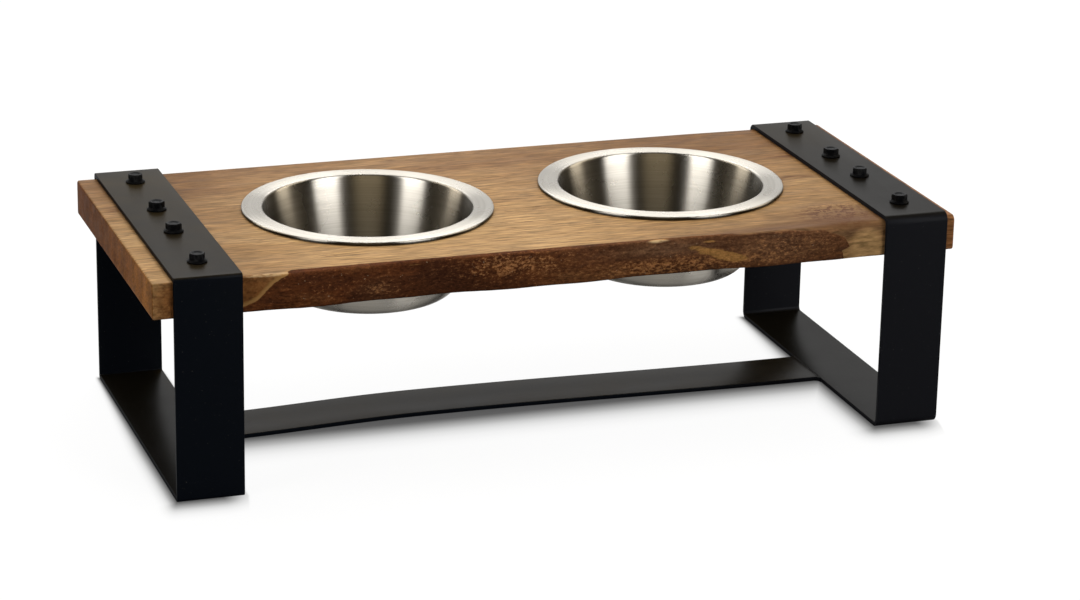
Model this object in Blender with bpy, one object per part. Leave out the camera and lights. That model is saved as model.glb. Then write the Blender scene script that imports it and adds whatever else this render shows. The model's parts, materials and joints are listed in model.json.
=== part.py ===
"""Double pet bowl stand.

A board with a live front edge lies inside two upright hoops of flat bar, held by
four screws down through the top of each hoop. A third bar on the floor is welded
between the hoops. Two stainless bowls hang by their rims in holes in the board.

Metres, +Z up. X runs along the board, Y from the live front edge to the back. The
origin is on the floor under the middle of the stand.
"""

import math

import bmesh
import bpy
from mathutils import Matrix, Vector

# Board
BOARD_LENGTH = 0.550
BOARD_THICKNESS = 0.024
BOARD_BACK_GAP = 0.0012
EDGE_EASE = 0.0014

# Live edge along the front of the board, between the two hoops. It starts and ends
# this far from the hoops, and takes these lengths to rise and to die out.
LIVE_LEFT_MARGIN = 0.004
LIVE_RIGHT_MARGIN = 0.012
LIVE_RISE = 0.030
LIVE_FADE = 0.032
LIVE_SWELL = 0.0014
LIVE_SWELL_LENGTH = 0.170
LIVE_RIPPLE = 0.0007
LIVE_RIPPLE_LENGTH = 0.061
LIVE_RIPPLE_LEAN = 2.0
LIVE_BELLY = 0.0012

# Broad rounding of the front top edge, reached this far before the right hoop
SHOULDER_RADIUS = 0.0075
SHOULDER_LEAD = 0.028
SHOULDER_RUN = 0.060
SHOULDER_AT_END = 0.0035

# Flat bar, and the hoops bent from it
BAR_WIDTH = 0.0444
BAR_THICKNESS = 0.003
BAR_EDGE = 0.0004
HOOP_HEIGHT = 0.150
HOOP_DEPTH = 0.243
LEFT_OVERHANG = 0.013
RIGHT_OVERHANG = 0.007
LEFT_OUTER_RADIUS = 0.0024
LEFT_INNER_RADIUS = 0.0008
RIGHT_OUTER_RADIUS = 0.0058
RIGHT_INNER_RADIUS = 0.0028

# Floor stretcher
STRETCHER_WIDTH = 0.0444
STRETCHER_BOW = 0.0035
STRETCHER_BOW_PEAK = 0.34
WELD_FILLET = 0.004

# Screws
SCREW_OUTER_SPACING = 0.182
SCREW_INNER_SPACING = 0.050
SCREW_SHANK = 0.006
SCREW_POINT = 0.005
SCREW_TIP = 0.0009
SCREW_COVER = 0.005
SCREW_CLEARANCE = 0.0004
FLANGE_DIAMETER = 0.0132
FLANGE_RIM = 0.0008
FLANGE_HEIGHT = 0.0016
HEX_ACROSS_FLATS = 0.0095
HEX_HEIGHT = 0.0042
HEX_CHAMFER = 0.0006
HEX_TOP_SHARE = 0.95
HEX_DISH = 0.0007
HEX_DISH_MOUTH_SHARE = 0.78
HEX_DISH_FLOOR_SHARE = 0.55
HEX_FIRST_TURN = 11.0
HEX_NEXT_TURN = 23.0

# Bowls
BOWL_SPACING = 0.2094
BOWL_PAIR_X = 0.0036
BOWL_Y = 0.002
BOWL_OPENING = 0.1406
BOWL_RIM = 0.1692
BOWL_DEPTH = 0.060
BOWL_BASE = 0.0975
BOWL_BASE_RADIUS = 0.014
BOWL_SHEET = 0.0008
BOWL_LIP_RADIUS = 0.0020
BOWL_RIM_HEIGHT = 0.0025
BOWL_HEM_RADIUS = 0.0013
BOWL_HOLE_CLEARANCE = 0.0026

# Pieces that touch on the real stand keep this much air here
CONTACT_GAP = 0.0003

# How finely round shapes are divided
ARC_STEPS = 5
EASE_STEPS = 2
LIP_STEPS = 3
BEND_STEPS = 6
BOWL_STEPS = 56
BOWL_MERGE = 0.00001
SCREW_STEPS = 18
BOARD_STATION = 0.010
FACE_ROWS = 4
BOW_STATION = 0.020
BEVELLED_ABOVE = 60.0

# Derived places
BOARD_TOP = HOOP_HEIGHT - BAR_THICKNESS - CONTACT_GAP
BOARD_BOTTOM = BOARD_TOP - BOARD_THICKNESS
BOARD_LEFT = -BOARD_LENGTH / 2
BOARD_FRONT = -HOOP_DEPTH / 2 + BAR_THICKNESS + CONTACT_GAP
BOARD_BACK = HOOP_DEPTH / 2 - BAR_THICKNESS - BOARD_BACK_GAP
BOARD_RIGHT = BOARD_LENGTH / 2
LEFT_HOOP_X = BOARD_LEFT + LEFT_OVERHANG + BAR_WIDTH / 2
RIGHT_HOOP_X = BOARD_RIGHT - RIGHT_OVERHANG - BAR_WIDTH / 2
LEFT_HOOP_INSIDE = LEFT_HOOP_X + BAR_WIDTH / 2
RIGHT_HOOP_INSIDE = RIGHT_HOOP_X - BAR_WIDTH / 2
SCREW_SEAT = HOOP_HEIGHT + CONTACT_GAP
SCREW_LENGTH = SCREW_SEAT - BOARD_BOTTOM - SCREW_COVER
BOWL_LEFT_X = BOWL_PAIR_X - BOWL_SPACING / 2
BOWL_RIGHT_X = BOWL_PAIR_X + BOWL_SPACING / 2
BOWL_RIM_TOP = BOARD_TOP + BOWL_RIM_HEIGHT
BOWL_HOLE = BOWL_OPENING + 2 * (BOWL_SHEET + BOWL_HOLE_CLEARANCE)


def smooth_step(value, start, end):
    """0 before start, 1 after end, and a smooth rise between."""
    share = min(max((value - start) / (end - start), 0.0), 1.0)
    return share * share * (3 - 2 * share)


def arc(centre, radius, start, end, steps):
    """Points on an arc in a plane, angles in degrees, both ends included."""
    points = []
    for step in range(steps + 1):
        angle = math.radians(start + (end - start) * step / steps)
        points.append((centre[0] + radius * math.cos(angle), centre[1] + radius * math.sin(angle)))
    return points


def material(name, colour, roughness, metallic=0.0):
    """A plain Principled material."""
    made = bpy.data.materials.new(name)
    made.use_nodes = True
    shader = made.node_tree.nodes["Principled BSDF"]
    shader.inputs["Base Color"].default_value = (*colour, 1.0)
    shader.inputs["Roughness"].default_value = roughness
    shader.inputs["Metallic"].default_value = metallic
    made.diffuse_color = (*colour, 1.0)
    return made


def add_object(name, bm, finish, parent=None, place=(0.0, 0.0, 0.0), smooth_below=35.0):
    """Link a bmesh to the scene as one object, shaded smooth up to an edge angle."""
    bmesh.ops.recalc_face_normals(bm, faces=bm.faces)
    mesh = bpy.data.meshes.new(name)
    bm.to_mesh(mesh)
    bm.free()
    mesh.shade_smooth()
    mesh.set_sharp_from_angle(angle=math.radians(smooth_below))
    obj = bpy.data.objects.new(name, mesh)
    obj.location = place
    obj.parent = parent
    if finish is not None:
        mesh.materials.append(finish)
    bpy.context.scene.collection.objects.link(obj)
    return obj


def add_empty(name, place=(0.0, 0.0, 0.0), parent=None):
    """An empty that carries other objects."""
    empty = bpy.data.objects.new(name, None)
    empty.location = place
    empty.parent = parent
    bpy.context.scene.collection.objects.link(empty)
    return empty


def bridge_rings(bm, rings):
    """Skin a row of rings that have the same number of points, and close both ends."""
    made = [[bm.verts.new(point) for point in ring] for ring in rings]
    count = len(made[0])
    for first, second in zip(made, made[1:]):
        for i in range(count):
            j = (i + 1) % count
            bm.faces.new((first[i], first[j], second[j], second[i]))
    bm.faces.new(made[0])
    bm.faces.new(reversed(made[-1]))


def cylinder_cutter(name, radius, low, high, x, y, steps):
    """A hidden cylinder along Z that cuts a round hole."""
    bm = bmesh.new()
    bmesh.ops.create_cone(
        bm, cap_ends=True, segments=steps, radius1=radius, radius2=radius, depth=high - low
    )
    cutter = add_object(name, bm, None, place=(x, y, (low + high) / 2))
    cutter.hide_render = True
    cutter.display_type = "WIRE"
    return cutter


def cut(obj, cutter):
    """Subtract one hidden cutter from an object."""
    boolean = obj.modifiers.new(cutter.name, "BOOLEAN")
    boolean.operation = "DIFFERENCE"
    boolean.solver = "EXACT"
    boolean.object = cutter


def live_relief(x, height_share):
    """How far the bark side stands out from the sawn plane, which shows at both ends."""
    start = LEFT_HOOP_INSIDE + LIVE_LEFT_MARGIN
    end = RIGHT_HOOP_INSIDE - LIVE_RIGHT_MARGIN
    rise = smooth_step(x, start, start + LIVE_RISE)
    fall = smooth_step(x, end - LIVE_FADE, end)
    swell = LIVE_SWELL * math.cos(2 * math.pi * (x - start - LIVE_RISE) / LIVE_SWELL_LENGTH)
    turn = 2 * math.pi * x / LIVE_RIPPLE_LENGTH + LIVE_RIPPLE_LEAN * height_share
    ripple = LIVE_RIPPLE * math.sin(turn)
    belly = LIVE_BELLY * math.sin(math.pi * height_share)
    return rise * (1 - fall) * (swell + ripple + belly)


def back_ease(x):
    """The rounding of the top back edge, which clears the bend inside each hoop."""
    under_right = smooth_step(x, RIGHT_HOOP_INSIDE - SHOULDER_RUN, RIGHT_HOOP_INSIDE)
    left = max(EDGE_EASE, LEFT_INNER_RADIUS)
    right = max(EDGE_EASE, RIGHT_INNER_RADIUS)
    return left + (right - left) * under_right


def shoulder_radius(x):
    """The rounding of the front top edge, broad by the right hoop."""
    full = RIGHT_HOOP_INSIDE - SHOULDER_LEAD
    rise = smooth_step(x, full - SHOULDER_RUN, full)
    fall = smooth_step(x, RIGHT_HOOP_INSIDE, BOARD_RIGHT)
    left = max(EDGE_EASE, LEFT_INNER_RADIUS)
    return left + (SHOULDER_RADIUS - left) * rise - (SHOULDER_RADIUS - SHOULDER_AT_END) * fall


def board_section(x, inset):
    """The board's outline across its length, as (y, z) points, shrunk by inset."""
    back = BOARD_BACK - inset
    front = BOARD_FRONT + inset
    top = BOARD_TOP - inset
    bottom = BOARD_BOTTOM + inset
    ease = EDGE_EASE
    top_back = back_ease(x)
    shoulder = shoulder_radius(x)
    points = arc((back - ease, bottom + ease), ease, -90, 0, EASE_STEPS)
    points += arc((back - top_back, top - top_back), top_back, 0, 90, EASE_STEPS)
    points += arc((front + shoulder, top - shoulder), shoulder, 90, 180, ARC_STEPS)
    face_top = top - shoulder
    face_bottom = bottom + ease
    for step in range(1, FACE_ROWS):
        points.append((front, face_top + (face_bottom - face_top) * step / FACE_ROWS))
    points += arc((front + ease, bottom + ease), ease, 180, 270, EASE_STEPS)
    shaped = []
    for y, z in points:
        height_share = (z - BOARD_BOTTOM) / BOARD_THICKNESS
        near_front = smooth_step(-y, -BOARD_FRONT - 2 * SHOULDER_RADIUS, -BOARD_FRONT)
        shaped.append((y - near_front * live_relief(x, height_share), z))
    return shaped


def build_board(parent, finish):
    """The board, with its bowl holes and the pilot holes for the screws."""
    whole = BOARD_LENGTH - 2 * EDGE_EASE
    count = round(whole / BOARD_STATION)
    corner = (1 - math.cos(math.pi / 4)) * EDGE_EASE
    stations = [(BOARD_LEFT, EDGE_EASE), (BOARD_LEFT + corner, corner)]
    stations += [(BOARD_LEFT + EDGE_EASE + whole * i / count, 0.0) for i in range(count + 1)]
    stations += [(BOARD_RIGHT - corner, corner), (BOARD_RIGHT, EDGE_EASE)]
    rings = []
    for x, inset in stations:
        rings.append([(x, y, z) for y, z in board_section(x, inset)])
    bm = bmesh.new()
    bridge_rings(bm, rings)
    board = add_object("wooden_top", bm, finish, parent)
    through = EDGE_EASE
    for name, x in (("left_bowl_hole", BOWL_LEFT_X), ("right_bowl_hole", BOWL_RIGHT_X)):
        cut(board, cylinder_cutter(
            name, BOWL_HOLE / 2, BOARD_BOTTOM - through, BOARD_TOP + through, x, BOWL_Y, BOWL_STEPS
        ))
    tip = SCREW_SEAT - SCREW_LENGTH - CONTACT_GAP
    for side, x in (("left", LEFT_HOOP_X), ("right", RIGHT_HOOP_X)):
        for number, y in enumerate(screw_rows(), 1):
            cut(board, cylinder_cutter(
                f"{side}_pilot_{number}", SCREW_SHANK / 2 + SCREW_CLEARANCE, tip, BOARD_TOP + through,
                x, y, SCREW_STEPS
            ))
    return board


def screw_rows():
    """The screws' places along a top strap, front to back."""
    outer = SCREW_OUTER_SPACING / 2
    inner = SCREW_INNER_SPACING / 2
    return (-outer, -inner, inner, outer)


def rounded_loop(depth, height, radius):
    """A rectangle with rounded corners in the Y-Z plane, centred on its middle."""
    half_y = depth / 2 - radius
    half_z = height / 2 - radius
    points = []
    corners = ((half_y, half_z, 0), (-half_y, half_z, 90), (-half_y, -half_z, 180), (half_y, -half_z, 270))
    for y, z, start in corners:
        points += arc((y, z), radius, start, start + 90, BEND_STEPS)
    return points


def build_hoop(name, x, outer_radius, inner_radius, parent, finish):
    """A closed hoop of flat bar, standing across the board."""
    outer = rounded_loop(HOOP_DEPTH, HOOP_HEIGHT, outer_radius)
    inner = rounded_loop(
        HOOP_DEPTH - 2 * BAR_THICKNESS, HOOP_HEIGHT - 2 * BAR_THICKNESS, inner_radius
    )
    half = BAR_WIDTH / 2
    bm = bmesh.new()
    made = {}
    for face, loop in (("outer", outer), ("inner", inner)):
        for side in (-half, half):
            made[face, side] = [bm.verts.new((side, y, z)) for y, z in loop]
    count = len(outer)
    walls = (
        (made["outer", -half], made["outer", half]),
        (made["outer", half], made["inner", half]),
        (made["inner", half], made["inner", -half]),
        (made["inner", -half], made["outer", -half]),
    )
    for first, second in walls:
        for i in range(count):
            j = (i + 1) % count
            bm.faces.new((first[i], first[j], second[j], second[i]))
    hoop = add_object(name, bm, finish, parent, (x, 0.0, HOOP_HEIGHT / 2))
    bevel = hoop.modifiers.new("eased bar edges", "BEVEL")
    bevel.width = BAR_EDGE
    bevel.segments = 1
    bevel.limit_method = "ANGLE"
    bevel.angle_limit = math.radians(BEVELLED_ABOVE)
    for number, y in enumerate(screw_rows(), 1):
        cut(hoop, cylinder_cutter(
            f"{name}_hole_{number}", SCREW_SHANK / 2 + SCREW_CLEARANCE,
            HOOP_HEIGHT - 2 * BAR_THICKNESS, HOOP_HEIGHT + BAR_THICKNESS, x, y, SCREW_STEPS
        ))
    return hoop


def bow_lift(share):
    """The stretcher's rise at a share of its length, level at both welds."""
    if share < STRETCHER_BOW_PEAK:
        turn = share / STRETCHER_BOW_PEAK
    else:
        turn = (1 - share) / (1 - STRETCHER_BOW_PEAK)
    return STRETCHER_BOW * math.sin(math.pi / 2 * turn) ** 2


def build_stretcher(parent, finish):
    """The floor bar between the hoops, with the welds' fillets at its ends."""
    left = LEFT_HOOP_INSIDE + CONTACT_GAP
    right = RIGHT_HOOP_INSIDE - CONTACT_GAP
    length = right - left
    straight = length - 2 * WELD_FILLET
    count = round(straight / BOW_STATION)
    fillet = arc((WELD_FILLET, WELD_FILLET), WELD_FILLET, 180, 270, ARC_STEPS)[:-1]
    stations = [(WELD_FILLET + straight * i / count, 0.0) for i in range(count + 1)]
    stations = fillet + stations + [(length - at, flare) for at, flare in reversed(fillet)]
    rings = []
    for at, flare in stations:
        half = STRETCHER_WIDTH / 2 + flare
        low = bow_lift(at / length)
        high = low + BAR_THICKNESS
        section = (
            (-half, low + BAR_EDGE), (-half + BAR_EDGE, low), (half - BAR_EDGE, low),
            (half, low + BAR_EDGE), (half, high - BAR_EDGE), (half - BAR_EDGE, high),
            (-half + BAR_EDGE, high), (-half, high - BAR_EDGE),
        )
        rings.append([(left + at, y, z) for y, z in section])
    bm = bmesh.new()
    bridge_rings(bm, rings)
    return add_object("floor_stretcher", bm, finish, parent)


def hex_radius(angle):
    """The hexagon's radius at an angle, with a corner at 0."""
    from_flat = (angle % (math.pi / 3)) - math.pi / 6
    return HEX_ACROSS_FLATS / 2 / math.cos(from_flat)


def build_screw(name, place, turn, parent, finish):
    """A hex washer-head screw, its flange just above the strap."""
    flat = HEX_ACROSS_FLATS / 2
    shank = SCREW_SHANK / 2
    head_top = HEX_HEIGHT + FLANGE_HEIGHT
    levels = (
        (head_top - HEX_DISH, HEX_DISH_FLOOR_SHARE * flat, False),
        (head_top, HEX_DISH_MOUTH_SHARE * flat, False),
        (head_top, HEX_TOP_SHARE * flat, False),
        (head_top - HEX_CHAMFER, 0.0, True),
        (FLANGE_HEIGHT, 0.0, True),
        (FLANGE_RIM, FLANGE_DIAMETER / 2, False),
        (0.0, FLANGE_DIAMETER / 2, False),
        (0.0, shank, False),
        (SCREW_POINT - SCREW_LENGTH, shank, False),
        (-SCREW_LENGTH, SCREW_TIP / 2, False),
    )
    rings = []
    for z, radius, is_hex in levels:
        ring = []
        for step in range(SCREW_STEPS):
            angle = 2 * math.pi * step / SCREW_STEPS
            reach = hex_radius(angle) if is_hex else radius
            ring.append((reach * math.cos(angle), reach * math.sin(angle), z))
        rings.append(ring)
    bm = bmesh.new()
    bridge_rings(bm, rings)
    bmesh.ops.rotate(bm, verts=bm.verts, cent=Vector(), matrix=Matrix.Rotation(turn, 3, "Z"))
    return add_object(name, bm, finish, parent, place, smooth_below=25.0)


def bowl_profile():
    """The bowl's section at +X as (radius, z), from the inner floor over the rim to the outer floor."""
    sheet = BOWL_SHEET
    opening = BOWL_OPENING / 2
    rim = BOWL_RIM / 2
    base_centre = Vector((BOWL_BASE / 2, BOWL_BASE_RADIUS - BOWL_DEPTH))
    lip_centre = Vector((opening + BOWL_LIP_RADIUS, -BOWL_LIP_RADIUS))
    # The wall is the straight line that touches the base's arc and the lip's arc
    between = lip_centre - base_centre
    radii = BOWL_BASE_RADIUS - sheet + BOWL_LIP_RADIUS
    lean = math.degrees(math.atan2(between.x, between.y) - math.asin(radii / between.length))
    hem_centre = (rim - BOWL_HEM_RADIUS, -BOWL_HEM_RADIUS)
    hem_foot = -BOWL_RIM_HEIGHT + CONTACT_GAP
    points = [(0.0, sheet - BOWL_DEPTH)]
    points += arc(base_centre, BOWL_BASE_RADIUS - sheet, -90, -lean, ARC_STEPS)
    points += arc(lip_centre, BOWL_LIP_RADIUS, 180 - lean, 90, LIP_STEPS)
    points += arc(hem_centre, BOWL_HEM_RADIUS, 90, 0, LIP_STEPS)
    points += [(rim, hem_foot), (rim - sheet, hem_foot)]
    points += arc(hem_centre, BOWL_HEM_RADIUS - sheet, 0, 90, LIP_STEPS)
    points += arc(lip_centre, BOWL_LIP_RADIUS - sheet, 90, 180 - lean, LIP_STEPS)
    points += arc(base_centre, BOWL_BASE_RADIUS, -lean, -90, ARC_STEPS)
    points += [(0.0, -BOWL_DEPTH)]
    return points


def build_bowl(name, parent, finish):
    """A bowl turned about its own axis, its origin on that axis at the rim's top."""
    bm = bmesh.new()
    verts = [bm.verts.new((radius, 0.0, z)) for radius, z in bowl_profile()]
    for first, second in zip(verts, verts[1:]):
        bm.edges.new((first, second))
    mesh = bpy.data.meshes.new(name)
    bm.to_mesh(mesh)
    bm.free()
    mesh.materials.append(finish)
    bowl = bpy.data.objects.new(name, mesh)
    bowl.parent = parent
    bpy.context.scene.collection.objects.link(bowl)
    screw = bowl.modifiers.new("turned section", "SCREW")
    screw.axis = "Z"
    screw.steps = BOWL_STEPS
    screw.render_steps = BOWL_STEPS
    screw.use_merge_vertices = True
    screw.merge_threshold = BOWL_MERGE
    screw.use_smooth_shade = True
    return bowl


def build_stand():
    """Every piece of the stand, under the empties that carry them."""
    wood = material("oiled_mango_wood", (0.42, 0.24, 0.11), 0.55)
    steel = material("black_powder_coat", (0.018, 0.018, 0.020), 0.38)
    screw_black = material("black_zinc", (0.010, 0.010, 0.012), 0.42, 0.6)
    stainless = material("brushed_stainless", (0.62, 0.60, 0.57), 0.28, 1.0)
    stand = add_empty("stand")
    build_board(stand, wood)
    build_hoop("left_hoop", LEFT_HOOP_X, LEFT_OUTER_RADIUS, LEFT_INNER_RADIUS, stand, steel)
    build_hoop("right_hoop", RIGHT_HOOP_X, RIGHT_OUTER_RADIUS, RIGHT_INNER_RADIUS, stand, steel)
    build_stretcher(stand, steel)
    turn = HEX_FIRST_TURN
    for side, x in (("left", LEFT_HOOP_X), ("right", RIGHT_HOOP_X)):
        for number, y in enumerate(screw_rows(), 1):
            place = (x, y, SCREW_SEAT)
            build_screw(f"{side}_screw_{number}", place, math.radians(turn), stand, screw_black)
            turn += HEX_NEXT_TURN
    for side, x in (("left", BOWL_LEFT_X), ("right", BOWL_RIGHT_X)):
        lift = add_empty(f"{side}_bowl_lift", (x, BOWL_Y, BOWL_RIM_TOP), stand)
        build_bowl(f"{side}_bowl", lift, stainless)


for old in list(bpy.data.objects):
    bpy.data.objects.remove(old)
build_stand()
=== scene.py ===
"""The looks of a double pet bowl stand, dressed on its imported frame.

A board with a live front edge lies in two hoops of black flat bar and carries two
brushed stainless bowls. Metres, +X along the board, +Y to the back, +Z up.
"""

from __future__ import annotations

import json
import logging
import math
from collections.abc import Callable
from dataclasses import dataclass
from enum import Enum

import bmesh
import bpy
import numpy as np
from bpy.types import Material, Mesh, NodeSocket, NodeTree, Object, World
from mathutils import Matrix, Vector, noise

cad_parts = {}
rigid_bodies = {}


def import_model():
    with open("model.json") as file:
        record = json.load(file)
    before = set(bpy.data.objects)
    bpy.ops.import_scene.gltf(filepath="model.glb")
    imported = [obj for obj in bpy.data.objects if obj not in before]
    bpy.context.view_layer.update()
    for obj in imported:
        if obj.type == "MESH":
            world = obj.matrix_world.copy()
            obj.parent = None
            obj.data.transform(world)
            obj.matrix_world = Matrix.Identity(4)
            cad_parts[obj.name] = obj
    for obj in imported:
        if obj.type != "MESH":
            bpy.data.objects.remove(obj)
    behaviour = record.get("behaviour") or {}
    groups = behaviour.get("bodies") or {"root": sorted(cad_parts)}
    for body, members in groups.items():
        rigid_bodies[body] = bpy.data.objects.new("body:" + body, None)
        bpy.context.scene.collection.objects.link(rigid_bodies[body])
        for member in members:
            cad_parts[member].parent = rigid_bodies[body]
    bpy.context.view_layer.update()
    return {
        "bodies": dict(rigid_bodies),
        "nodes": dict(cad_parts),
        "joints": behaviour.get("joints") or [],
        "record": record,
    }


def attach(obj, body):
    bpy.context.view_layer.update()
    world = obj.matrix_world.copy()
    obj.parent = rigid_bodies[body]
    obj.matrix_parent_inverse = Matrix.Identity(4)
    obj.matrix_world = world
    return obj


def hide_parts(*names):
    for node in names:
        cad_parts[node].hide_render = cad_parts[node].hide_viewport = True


LOG = logging.getLogger("pet_bowl_stand")
MM = 0.001
FULL_TURN = 2 * math.pi

Pair = tuple[float, float]
Triple = tuple[float, float, float]
Colour = tuple[float, float, float]
Array = np.ndarray
Sizes = dict[str, object]
# A soft-edged place: its middle, its reach along the axes and how much of it shows
Patch = tuple[Triple, Triple, float]


class Side(Enum):
    """Which end of the stand a piece belongs to."""

    LEFT = "left"
    RIGHT = "right"


@dataclass(frozen=True)
class Layout:
    """Where the pieces stand, shared by those that have to meet."""

    strap_x: dict[Side, float]
    bowl_x: dict[Side, float]
    bowl_y: float
    screw_rows: tuple[float, ...]
    bar_width: float
    bar_thickness: float
    bar_edge: float
    bar_edge_steps: int


STAND = Layout(
    strap_x={Side.LEFT: -0.2398, Side.RIGHT: 0.2458}, bowl_x={Side.LEFT: -0.1011, Side.RIGHT: 0.1083},
    bowl_y=0.002, screw_rows=(-0.091, -0.025, 0.025, 0.091),
    bar_width=0.0444, bar_thickness=0.0030, bar_edge=0.0004, bar_edge_steps=3,
)


def arithmetic(operation: str, swapped: bool = False) -> Callable[..., Wire]:
    """Write a method for one step of arithmetic, by Blender's name for it.

    Args:
        operation: The operation.
        swapped: Whether the wire itself comes last.

    Returns:
        The method, which takes the other values and gives the result.
    """

    def method(wire: Wire, *others: object) -> Wire:
        """Reckon with the wire and the other values."""
        return wire.sheet.math(operation, *((*others, wire) if swapped else (wire, *others)))

    return method


class Wire:
    """A node's output, to reckon with and to colour with."""

    __add__ = arithmetic("ADD")
    __sub__ = arithmetic("SUBTRACT")
    __rsub__ = arithmetic("SUBTRACT", swapped=True)
    __mul__ = arithmetic("MULTIPLY")
    __truediv__ = arithmetic("DIVIDE")
    __mod__ = arithmetic("MODULO")
    __pow__ = arithmetic("POWER")
    __abs__ = arithmetic("ABSOLUTE")
    least = arithmetic("MINIMUM")
    most = arithmetic("MAXIMUM")
    above = arithmetic("GREATER_THAN")
    times_plus = arithmetic("MULTIPLY_ADD")
    floor = arithmetic("FLOOR")
    sine = arithmetic("SINE")
    root = arithmetic("SQRT")
    sign = arithmetic("SIGN")

    def __init__(self, sheet: NodeSheet, socket: NodeSocket) -> None:
        """Keep the socket and the sheet that it is on."""
        self.sheet = sheet
        self.socket = socket

    def beside(self, name: str) -> Wire:
        """Another output of the same node."""
        return Wire(self.sheet, self.socket.node.outputs[name])

    def parts(self) -> list[Wire]:
        """A vector's three parts."""
        split = self.sheet.add("ShaderNodeSeparateXYZ", {0: self})
        return [split.beside(axis) for axis in "XYZ"]

    def span(
        self, low: float, high: float, first: float = 0.0, last: float = 1.0, smooth: bool = False
    ) -> Wire:
        """Take one range of numbers to another, held at its ends.

        Args:
            low: Where the first range starts.
            high: Where the first range ends.
            first: What low becomes.
            last: What high becomes.
            smooth: Whether the change eases in and out.

        Returns:
            The new number.
        """
        kind = "SMOOTHSTEP" if smooth else "LINEAR"
        inputs = {"Value": self, 1: low, 2: high, 3: first, 4: last}
        return self.sheet.add("ShaderNodeMapRange", inputs, interpolation_type=kind)

    def under(self, colour: object, share: object) -> Wire:
        """This colour with a share of another laid over it."""
        return self.sheet.mix(share, self, colour)

    def times(self, colour: object, share: object = 1.0) -> Wire:
        """This colour multiplied by another, or by a number, as far as a share says."""
        return self.sheet.mix(share, self, colour, "MULTIPLY")


class NodeSheet:
    """A node tree under construction."""

    def __init__(self, tree: NodeTree) -> None:
        """Keep the tree that the nodes go into."""
        self.tree = tree

    def feed(self, socket: NodeSocket, value: object) -> None:
        """Join a socket to a node's output, or set its value.

        Args:
            socket: The input socket.
            value: A wire, or a plain value.
        """
        if isinstance(value, Wire):
            self.tree.links.new(value.socket, socket)
        else:
            socket.default_value = value

    def add(self, kind: str, inputs: Sizes | None = None, out: str | int = 0, **settings: object) -> Wire:
        """Add a node, set its options and fill its inputs.

        Args:
            kind: Blender's name for the node's type.
            inputs: A value or a wire for each input, by its name or number.
            out: The output to go on from, by its name or number.
            **settings: Options of the node itself.

        Returns:
            That output.
        """
        node = self.tree.nodes.new(kind)
        for name, value in settings.items():
            setattr(node, name, value)
        for key, value in (inputs or {}).items():
            self.feed(node.inputs[key], value)
        return Wire(self, node.outputs[out])

    def end(self, kind: str, result: Wire) -> None:
        """Close the tree with an output node."""
        self.feed(self.tree.nodes.new(kind).inputs[0], result)

    def math(self, operation: str, *values: object, clamp: bool = False) -> Wire:
        """One step of arithmetic on up to three numbers or wires, held between 0 and 1 if asked."""
        inputs = dict(enumerate(values))
        return self.add("ShaderNodeMath", inputs, operation=operation, use_clamp=clamp)

    def point(self, x: object, y: object, z: object) -> Wire:
        """A vector from three numbers or wires."""
        return self.add("ShaderNodeCombineXYZ", {0: x, 1: y, 2: z})


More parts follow.
